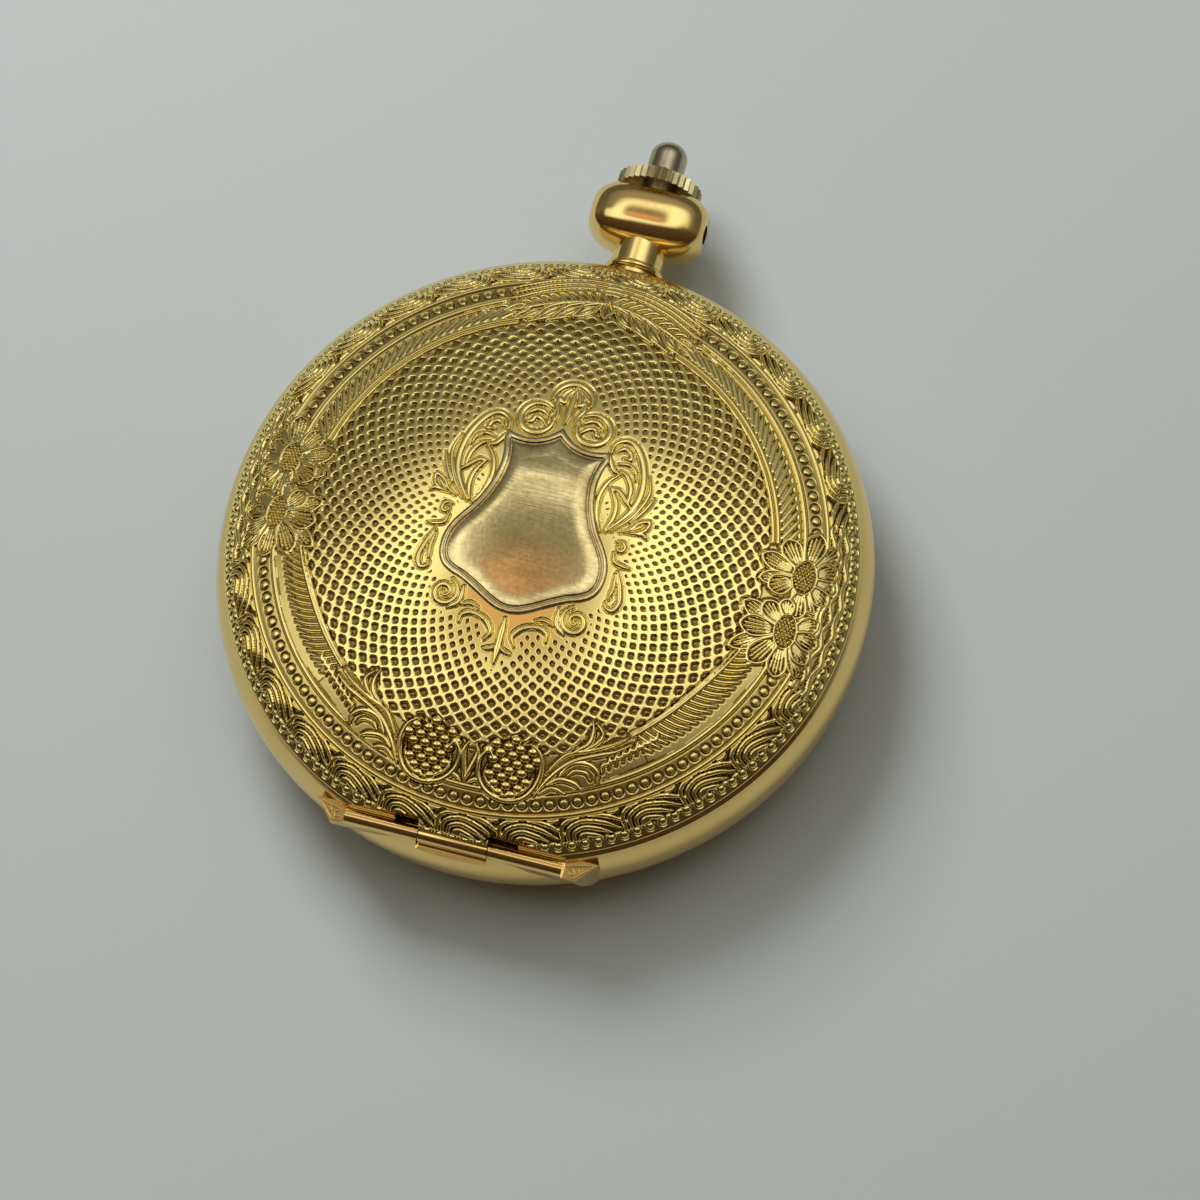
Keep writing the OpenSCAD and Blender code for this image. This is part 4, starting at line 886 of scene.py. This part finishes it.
# Each ring is given by its inner and outer radius, its steps round and the spacing of its rows.
rings_of_lid = [("lid_net_inner", relief_start, 8.0, 1200, 0.055),
                ("lid_net_middle", 8.0, 12.0, 1500, 0.07),
                ("lid_net_outer", 12.0, 16.0, 1800, 0.088),
                ("lid_wreath_inner", 16.0, 17.9, 2200, 0.054),
                ("lid_wreath_outer", 17.9, 19.6, 2200, 0.054),
                ("lid_border_inner", 19.6, 21.3, 2200, 0.056),
                ("lid_border_outer", 21.3, relief_end, 2200, 0.065)]
liner_lap = 0.03


def lid_underside(r):
    """The sheet's inner side, kept a hair above the liner that covers it, then the lip's top."""
    return np.maximum(lip_top, lid_height(r, sheet - liner_lap))


lid_sheet = (lid_height, lid_lean, lid_underside, chased_lid, 1)
lid_pieces = [chased_ring(name, inner, outer, steps, spacing, lid_sheet, chased_gold, "lid")
              for name, inner, outer, steps, spacing in rings_of_lid]
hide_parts("front_lid")

middle_top = section_of(lid_height, np.linspace(0, relief_start, 12))
middle_under = section_of(lid_height, np.linspace(relief_start, 0, 6), sheet)
turned("lid_middle", middle_top + middle_under, gold_case, "lid")

rim_edge = section_of(lid_height, np.linspace(relief_end, rim_r, 7))
rim_foot = [(lip_r, lid_foot), (rim_r, lid_foot + 0.02)]
rim_inside = [(relief_end, lip_top), (lip_r, lip_top)]
lid_rim = turned("lid_rim", rim_foot + rim_edge[::-1] + rim_inside, gold_case, "lid", 720)

# The lid is filed away for the hinge: a straight cut over the case's knuckles, and a shallower
# one where its own knuckle is soldered on.
hinge_y, hinge_z, barrel_r = -22.52, 8.22, 0.62
hinge_half, knuckle_half = 8.0, 2.55
barrel_gap, end_gap, overlap, past = 0.07, 0.15, 1, 30
cut_y = hinge_y + barrel_r + barrel_gap
for piece in (*lid_pieces[-2:], lid_rim):
    cut_away(piece, [block((knuckle_half, -past, 0), (hinge_half + end_gap, cut_y, past)),
                     block((-hinge_half - end_gap, -past, 0), (-knuckle_half, cut_y, past)),
                     block((-knuckle_half - overlap, -past, 0), (knuckle_half + overlap, hinge_y, past))])

knuckle_bevel = 0.06
knuckle = bar(barrel_r, (-knuckle_half, hinge_y, hinge_z), (knuckle_half, hinge_y, hinge_z), 48)
end_edges = [e for e in knuckle.edges if abs(e.verts[0].co.x - e.verts[1].co.x) < 1e-4]
bmesh.ops.bevel(knuckle, geom=end_edges, offset=knuckle_bevel, affect="EDGES", segments=2, profile=0.5,
                material=-1)
add_mesh("lid_knuckle", knuckle, gold_case, "lid")


# The flat top of each hinge lug is carved with a leaf and two little scrolls that carry the
# border of the lid on into the case. They are cut from the lug's own gold.
lug_top = 8.24


def carved_wire(mesh, path, radius, around=10):
    """Adds a round wire along a path, pointed at both ends, to a mesh."""
    last = len(path) - 1
    made = bmesh.ops.create_grid(mesh, x_segments=around, y_segments=last, size=0.5)["verts"]
    flat = np.array([v.co for v in made])
    turned_by = 2 * np.pi * (np.rint((flat[:, 0] + 0.5) * around) % around) / around
    step = np.rint((flat[:, 1] + 0.5) * last).astype(int)
    run = np.gradient(path, axis=0)
    side = np.column_stack([-run[:, 1], run[:, 0]]) / np.hypot(*run.T)[:, None]
    thick = radius * np.sqrt(np.abs(np.sin(np.pi * np.linspace(0, 1, last + 1))))
    spots = path[step] + side[step] * (thick[step] * np.cos(turned_by))[:, None]
    for vert, spot, rise_mm in zip(made, spots, thick[step] * np.sin(turned_by)):
        vert.co = (*spot, lug_top + rise_mm)


lug_leaf = curve([(8.15, -22.3), (8.8, -22.08), (9.5, -21.9), (10.15, -21.72)])
lug_stem = curve([(8.2, -22.95), (8.9, -22.98), (9.25, -22.65), (9.75, -22.15), (10.2, -21.75)])
big_scroll = arc((8.62, -22.6), (0.08, 0.3), -240, 150)
small_scroll = arc((9.3, -22.3), (0.05, 0.22), -60, 330)
scrolls = bmesh.new()
for path, radius in ((lug_leaf, 0.08), (lug_stem, 0.08), (big_scroll, 0.07), (small_scroll, 0.06)):
    for way in (1, -1):
        carved_wire(scrolls, path * (way, 1), radius)
close_seams(scrolls)
add_mesh("lug_scrolls", scrolls, gold_case, "case")


# The shield is a separate plate of champagne-coloured metal with soft rounded edges, brushed by
# hand and soldered on the middle of the lid for a monogram that was never cut.
shield_flange, shield_roll, seam_half = 0.5, 1.15, 0.09
flange_rise, flange_z, seam_depth = 0.12, 0.04, 0.06
dome_rise, shield_reach, dip_from_y = 0.12, 7.6, 3.6


def shield_mesh(steps=420):
    """The plate: a rolled edge, a cut seam inside it, then a face that swells in the middle and
    dips towards its top."""
    fine_from = 0.72
    rows = np.concatenate([np.linspace(0, fine_from, 20), np.linspace(fine_from, 1, 40)[1:], [1.0, 0.0]])
    top_rows = len(rows) - 2
    mesh, place, row = turned_grid(np.column_stack([rows, np.zeros(len(rows))]), steps)
    angle = np.arctan2(place[:, 1], place[:, 0])
    outline_angle = np.arctan2(shield_outline[:-1, 1], shield_outline[:-1, 0])
    reach = np.interp(angle, outline_angle, np.hypot(*shield_outline[:-1].T), period=2 * np.pi)
    place[:, :2] *= reach[:, None]
    y = place[:, 1]
    r = np.hypot(place[:, 0], y)
    far, _ = Chasing(place[:, 0], y).follow(np.arange(len(place)), shield_outline)
    across_flange = np.clip(far / shield_flange, 0, 1)
    across_face = np.clip((far - shield_flange - 0.06) / shield_roll, 0, 1)
    seam = np.clip(1 - np.abs(far - shield_flange - 0.02) / seam_half, 0, 1)
    rolled_edge = flange_rise * np.sqrt(1 - (2 * across_flange - 1) ** 2) * (across_flange < 1)
    swell = (0.14 + 0.011 * y) * (1 - (1 - across_face) ** 2.5)
    dome = dome_rise * (1 - (r / shield_reach) ** 2) * (far > 0)
    dip = 0.045 * np.maximum(y - dip_from_y, 0) ** 1.3 * across_face
    rise = flange_z + rolled_edge - seam_depth * seam + swell + dome - dip
    place[:, 2] = lid_height(r) + np.where(row < top_rows, rise, 0.0)
    set_places(mesh, place)
    return mesh


brushed = new_finish("brushed_champagne")
streaks = brushed.noise(0.16, detail=3, stretch=(0.06, 1, 1))
cloud = brushed.noise(2.2, detail=5)
scratch = brushed.noise(0.25, detail=6, stretch=(1, 0.5, 1))
speckle = brushed.noise(0.32, detail=6)
dulled = brushed.span(cloud * 0.5 + speckle * 0.3 + streaks * 0.2, 0.38, 0.62, 0, 1)
brushed_tone = brushed.mix(dulled, srgb(242, 224, 164), srgb(190, 169, 114))
brushed.set(Base_Color=brushed_tone, Metallic=1.0,
            Roughness=brushed.span(streaks, 0.3, 0.7, 0.1, 0.17) + brushed.span(cloud, 0.4, 0.7, 0, 0.06))
brushed.set(Normal=brushed.bump(streaks + scratch * 0.8, strength=0.45, depth_mm=0.01))
shield = add_mesh("shield", shield_mesh(), brushed, "lid", 0)
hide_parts("lid_shield")


# The pendant bulb is a turned barrel across the neck, polished and plated. The crown sinks
# into the flat on its top, and each end has a hole for a bow.
bulb_r, bulb_half, bulb_y, pend_z = 2.82, 4.35, 28.95, 5.55
full_half, length_power, round_power = 4.6, 2.8, 2.5
stations = np.concatenate([np.linspace(bulb_half, 3.0, 16), np.linspace(3.0, 0, 12)[1:]])
upper = [(bulb_r * (1 - (x / full_half) ** length_power) ** (1 / length_power), x) for x in stations]
lower = [(r, -x) for r, x in upper[-2::-1]]
barrel, place, _ = turned_grid([(0, bulb_half)] + upper + lower + [(0, -bulb_half)], 120)
reach = np.hypot(place[:, 0], place[:, 1]) + 1e-9
square = np.abs(place[:, 0] / reach) ** round_power + np.abs(place[:, 1] / reach) ** round_power
place[:, :2] *= (np.maximum(square, 0.1) ** (-1 / round_power))[:, None]
set_places(barrel, place)
bmesh.ops.rotate(barrel, verts=barrel.verts, cent=(0, 0, 0), matrix=Matrix.Rotation(math.pi / 2, 3, "Y"))
bmesh.ops.translate(barrel, verts=barrel.verts, vec=(0, bulb_y, pend_z))
bulb = add_mesh("bulb", barrel, gold_case, "case")

flat_y, crown_well, bow_r, bow_depth = 30.7, 3.37, 0.75, 1.7
neck_r, sleeve_out, sleeve_in, sleeve_end = 2.0, 1.75, 1.4, 30.05


def pendant_bar(radius, from_y, to_y, segments=64):
    """A bar on the pendant's line, which runs out from the case along Y."""
    return bar(radius, (0, from_y, pend_z), (0, to_y, pend_z), segments)


bow_holes = [bar(bow_r, (way * (bulb_half - bow_depth), bulb_y, pend_z), (way * 6, bulb_y, pend_z))
             for way in (-1, 1)]
cut_away(bulb, [pendant_bar(crown_well, flat_y, flat_y + 5, 96),
                pendant_bar(neck_r, bulb_y - 4, bulb_y - 1),
                pendant_bar(sleeve_out, bulb_y - 1.5, sleeve_end),
                pendant_bar(sleeve_in, bulb_y, bulb_y + 4)] + bow_holes)
bulb.data.set_sharp_from_angle(angle=math.radians(40))
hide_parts("pendant_bulb")


# The crown is turned from a paler alloy and serrated, with a worn nickel post through it. Its
# tube, sleeve, stem and keyless work are steel.
def metal(name, tint, rough, grain_mm=(0.4, 0.4, 0.4), depth=0.15, wear=0.1):
    """Bare or plated metal with its own grain, cloudy wear and small differences in tone."""
    made = new_finish(name)
    cloud = made.noise(3, detail=5)
    grain = made.noise(1, detail=4, stretch=tuple(1 / g for g in grain_mm))
    worn = made.span(cloud, 0.4, 0.7, 0, 1)
    made.set(Base_Color=made.mix(worn, srgb(*tint), srgb(*(0.86 * t for t in tint))), Metallic=1.0)
    made.set(Roughness=made.span(grain, 0.3, 0.7, rough * 0.8, rough * 1.2) + worn * wear)
    made.set(Normal=made.bump(grain, strength=depth, depth_mm=0.006))
    return made


dress(metal("pale_gold", (226, 212, 160), rough=0.26), "crown")
dress(metal("worn_nickel", (190, 180, 150), rough=0.22), "crown_post")
dress(metal("turned_steel", (196, 198, 202), rough=0.28, grain_mm=(0.08, 0.5, 0.08), depth=0.25),
      "crown_tube", "crown_sleeve", "stem", "clutch_pinion", "setting_lever", "yoke", "hinge_pin",
      "spring_screws", "bridge_screws", "battery_screw", "movement_clamps", "clamp_screws")
dress(metal("blued_spring", (150, 160, 186), rough=0.3, grain_mm=(0.5, 0.5, 0.06)),
      "lid_lift_spring", "catch_spring", "crown_return_spring")
dress(gold("mirror_gold", (252, 230, 160), rough=0.07, wear=0.03), "rehaut_ring", "lid_liner")


# The glass is a low dome of mineral glass pressed into a nylon ring, and a rubber ring seals
# the back. Both rings are soft and slightly dull.
def moulded(name, tint, rough, coat=0.0):
    """A moulded or sprayed surface: a fine pebble, dust in it and a slow change of shade."""
    made = new_finish(name)
    slow = made.noise(4, detail=4)
    pebble = made.noise(0.12, detail=3)
    shade = made.span(slow, 0.3, 0.7, 0, 1)
    made.set(Base_Color=made.mix(shade, srgb(*tint), srgb(*(0.93 * t for t in tint))))
    made.set(Roughness=made.span(pebble, 0.3, 0.7, rough * 0.85, min(1, rough * 1.15)), Coat_Weight=coat)
    made.set(Normal=made.bump(pebble, strength=0.2, depth_mm=0.008))
    return made


dress(moulded("white_nylon", (228, 226, 214), rough=0.45), "crystal_gasket")
dress(moulded("black_rubber", (34, 33, 32), rough=0.6), "back_gasket")
dress(moulded("white_holder", (232, 231, 226), rough=0.4), "movement_ring")
dress(moulded("chip_resin", (26, 26, 28), rough=0.35), "ic_chip")
dress(moulded("amber_film", (208, 132, 36), rough=0.3, coat=0.4), "battery_insulator")
dress(moulded("cast_magnet", (70, 70, 74), rough=0.5), "rotor")

glass = new_finish("mineral_glass")
smear = glass.span(glass.noise(2.5, detail=5), 0.5, 0.8, 0.0, 0.06)
glass.set(Base_Color=(1.0, 1.0, 1.0), Roughness=smear, IOR=1.5, Transmission_Weight=1.0)

# The lens is turned afresh, a hair smaller than the CAD's, whose facets cut into its gasket.
places = np.array([v.co for v in nodes["crystal"].data.vertices]) / MM
glass_r, glass_top = places[:, 0].max(), places[:, 2].max()
glass_rise, glass_thick, glass_fit = 1.5, 0.7, 0.02
glass_arc = (glass_r ** 2 + glass_rise ** 2) / (2 * glass_rise)


def glass_height(r, inset=0.0):
    """Height of the lens's outer side at radius r, or of the surface inset below it."""
    return glass_top - glass_arc + math.sqrt((glass_arc - inset) ** 2 - r ** 2)


lens_r = glass_r - glass_fit
lens = (section_of(glass_height, np.linspace(0, lens_r, 30))
        + section_of(glass_height, np.linspace(lens_r, 0, 30), glass_thick))
watch_glass = turned("watch_glass", lens, glass, "case", 480)
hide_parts("crystal")


# The movement's plates are nickel-plated brass with overlapping turned circles, its wheels are
# plain brass, and the battery and the crystal's can are nickel.
perlage = new_finish("circled_nickel")
circle_mm, turning_lines = 1.1, 60.0
grid = perlage.node("VectorMath", {"operation": "SCALE"},
                    {0: perlage.place(), "Scale": 1 / (circle_mm * MM)})
from_middle = perlage.node("TexVoronoi", {"feature": "F1"},
                           {"Vector": grid, "Scale": 1.0, "Randomness": 0.25})
circles = (from_middle * turning_lines).of("SINE")
circle_tone = perlage.mix(perlage.span(from_middle, 0, 0.8, 0, 1), srgb(214, 212, 204), srgb(190, 188, 182))
perlage.set(Base_Color=circle_tone, Metallic=1.0, Roughness=perlage.span(circles, -1, 1, 0.2, 0.32))
perlage.set(Normal=perlage.bump(circles, strength=0.25, depth_mm=0.004))
dress(perlage, "main_plate", "train_bridge", "stator")
dress(metal("plain_brass", (232, 198, 118), rough=0.24, grain_mm=(0.1, 0.1, 0.5), depth=0.2),
      "battery_clip", "dial_washer", "fourth_wheel", "fifth_wheel", "third_wheel", "centre_wheel",
      "minute_wheel", "hour_wheel", "setting_wheel")
dress(metal("cell_nickel", (204, 204, 200), rough=0.2), "battery", "quartz_crystal")


# The coil is fine enamelled copper wire, wound in close turns between the two cheeks of its
# bobbin. Its axis is the longest way through the CAD's coil.
wire_pitch = 0.1 * MM
coil_places = np.array([v.co for v in nodes["coil"].data.vertices])
coil_axis = np.linalg.svd(coil_places - coil_places.mean(0), full_matrices=False)[2][0]
wound = new_finish("enamelled_wire")
along_coil = wound.node("VectorMath", {"operation": "DOT_PRODUCT"},
                        {0: wound.place(), 1: tuple(coil_axis)}, output=1)
turns = (along_coil * (2 * math.pi / wire_pitch)).of("SINE")
# The wire's colour goes dark between the turns and bright on their crests: painted shade in the grooves and
# a painted highlight on each turn.
wound.set(Base_Color=wound.mix(wound.span(turns, -1, 1, 0, 1), srgb(110, 48, 20), srgb(206, 116, 62)))
wound.set(Roughness=wound.span(wound.noise(1.5, detail=3), 0.3, 0.7, 0.22, 0.34))
wound.set(Metallic=0.85, Coat_Weight=0.5)
wound.set(Normal=wound.bump(turns, strength=0.6, depth_mm=0.03))
dress(wound, "coil")


# The circuit board is green laminate. Its copper tracks show paler through the solder mask and
# stand a little proud of it.
laminate = new_finish("green_laminate")
track_mm = 1.4
cells = laminate.node("VectorMath", {"operation": "SCALE"},
                      {0: laminate.place(), "Scale": 1 / (track_mm * MM)})
border = laminate.node("TexVoronoi", {"feature": "DISTANCE_TO_EDGE", "distance": "EUCLIDEAN"},
                       {"Vector": cells, "Scale": 1.0, "Randomness": 0.7})
track = laminate.span(border, 0.05, 0.08, 1, 0)
laminate.set(Base_Color=laminate.mix(track, srgb(24, 92, 54), srgb(96, 142, 70)))
laminate.set(Roughness=laminate.span(laminate.noise(0.3, detail=4), 0.3, 0.7, 0.3, 0.42), Coat_Weight=0.3)
laminate.set(Normal=laminate.bump(track, strength=0.4, depth_mm=0.02))
dress(laminate, "circuit_board")


# The dial is a brass disc in warm white lacquer, printed in black with Roman numerals and a
# railway minute track. The hands are stamped steel, polished and heated blue.
lacquer = new_finish("cream_lacquer")
cream = lacquer.span(lacquer.noise(8, detail=3), 0.3, 0.7, 0, 1)
orange_peel = lacquer.noise(0.5, detail=2)
lacquer.set(Base_Color=lacquer.mix(cream, srgb(240, 233, 214), srgb(232, 223, 200)))
lacquer.set(Roughness=lacquer.span(orange_peel, 0.3, 0.7, 0.2, 0.28), Coat_Weight=0.4)
lacquer.set(Normal=lacquer.bump(orange_peel, strength=0.08, depth_mm=0.006))
dress(lacquer, "dial")
dress(metal("heat_blue", (40, 62, 150), rough=0.18, grain_mm=(0.3, 0.3, 0.3), depth=0.08, wear=0.05),
      "hour_hand", "minute_hand", "second_hand")

dial_top, ink_high, ink_sunk = 7.2, 0.02, 0.001
ink = moulded("dial_ink", (20, 19, 20), rough=0.4)
printing = bmesh.new()


def stroke(start, end, width):
    """One printed stroke on the dial between two points."""
    run = Vector(end) - Vector(start)
    middle = (Vector(start) + Vector(end)) / 2
    at = Matrix.Translation((*middle, dial_top + ink_high / 2 - ink_sunk))
    turned_to = Matrix.Rotation(math.atan2(run.y, run.x), 4, "Z")
    shape = Matrix.Diagonal((run.length, width, ink_high, 1))
    bmesh.ops.create_cube(printing, size=1, matrix=at @ turned_to @ shape)


# A letter's strokes run from where each starts at the head to where it ends at the foot, as
# distances from the letter's middle, with the stroke's width.
thick, thin, serif, splay, letter_gap = 0.34, 0.12, 0.1, 0.42, 0.05
letter_wide = {"I": 0.62, "V": 1.25, "X": 1.25}
letter_strokes = {"I": [(0, 0, thick)],
                  "V": [(-splay, 0, thick), (splay, 0, thin)],
                  "X": [(-splay, splay, thick), (splay, -splay, thin)]}
numerals = ("XII", "I", "II", "III", "IIII", "V", "VI", "VII", "VIII", "IX", "X", "XI")
numeral_r, half_tall = 14.75, 1.35
for hour, numeral in enumerate(numerals):
    out_turn = math.radians(90 - 30 * hour)
    out = Vector((math.cos(out_turn), math.sin(out_turn)))
    on = Vector((out.y, -out.x))
    head_r, foot_r = numeral_r + half_tall, numeral_r - half_tall
    at = -sum(letter_wide[letter] for letter in numeral) / 2
    for letter in numeral:
        wide = letter_wide[letter]
        for head, base, weight in letter_strokes[letter]:
            stroke(out * head_r + on * (at + wide / 2 + head),
                   out * foot_r + on * (at + wide / 2 + base), weight)
        for serif_r in ((head_r,) if letter == "V" else (head_r, foot_r)):
            stroke(out * serif_r + on * (at + letter_gap),
                   out * serif_r + on * (at + wide - letter_gap), serif)
        at += wide

track_inner, track_outer, line_half = 17.3, 18.1, 0.05
for minute in range(60):
    a = math.radians(6 * minute)
    out = Vector((math.cos(a), math.sin(a)))
    stroke(out * track_inner, out * track_outer, 0.3 if minute % 5 == 0 else 0.1)
add_mesh("dial_numerals", printing, ink, "case", 0)
for name, radius in (("track_inner", track_inner), ("track_outer", track_outer), ("numeral_ring", 12.9)):
    inner, outer = radius - line_half, radius + line_half
    low, high = dial_top - ink_sunk, dial_top + ink_high
    turned(name, [(inner, low), (outer, low), (outer, high), (inner, high)], ink, "case", 180)


# The back is chased like the lid, round a plain polished middle that it rests on. The relief
# is a skin on the snap-on back cover, raised a tenth of a millimetre.
back_dome_r, back_dome_z, back_edge = 83.0, 82.46, 20.0
back_corner_r, back_corner_x, back_corner_z = 10.0, 17.59, 11.61
back_start, back_end, skin = 11.0, 22.95, 0.15


def back_height(r):
    """Height of the back cover's plain outer form at radius r."""
    dome = back_dome_z - np.sqrt(back_dome_r ** 2 - np.minimum(r, back_edge) ** 2)
    reach = np.clip((r - back_corner_x) / back_corner_r, -1, 1)
    return np.where(r < back_edge, dome, back_corner_z - back_corner_r * np.sqrt(1 - reach ** 2))


def back_lean(r):
    """How far the back's outward normal leans away from straight down, as a sine."""
    return np.where(r < back_edge, r / back_dome_r, (r - back_corner_x) / back_corner_r)


def chased_back(x, y):
    """The back's relief: the lid's at about half its height, faded out at both edges."""
    least, raised_by, share = 0.02, 0.08, 0.55
    thinnest = 0.012
    r = np.hypot(x, y)
    work = Chasing(np.abs(x), y)
    ornament(work, r, np.arctan2(y, x) % (2 * np.pi))
    fade = np.clip((r - 11.1) / 0.3, 0, 1) * np.clip((22.9 - r) / 0.1, 0, 1)
    return np.maximum(least + (raised_by + share * work.height()) * fade, thinnest)


back_sheet = (back_height, back_lean, lambda r: back_height(r) + skin, chased_back, -1)
rings_of_back = [("back_net", back_start, 16.0, 1200, 0.1), ("back_wreath", 16.0, 19.6, 1400, 0.08),
                 ("back_border", 19.6, back_end, 1400, 0.09)]
for name, inner, outer, steps, spacing in rings_of_back:
    chased_ring(name, inner, outer, steps, spacing, back_sheet, chased_gold, "case")
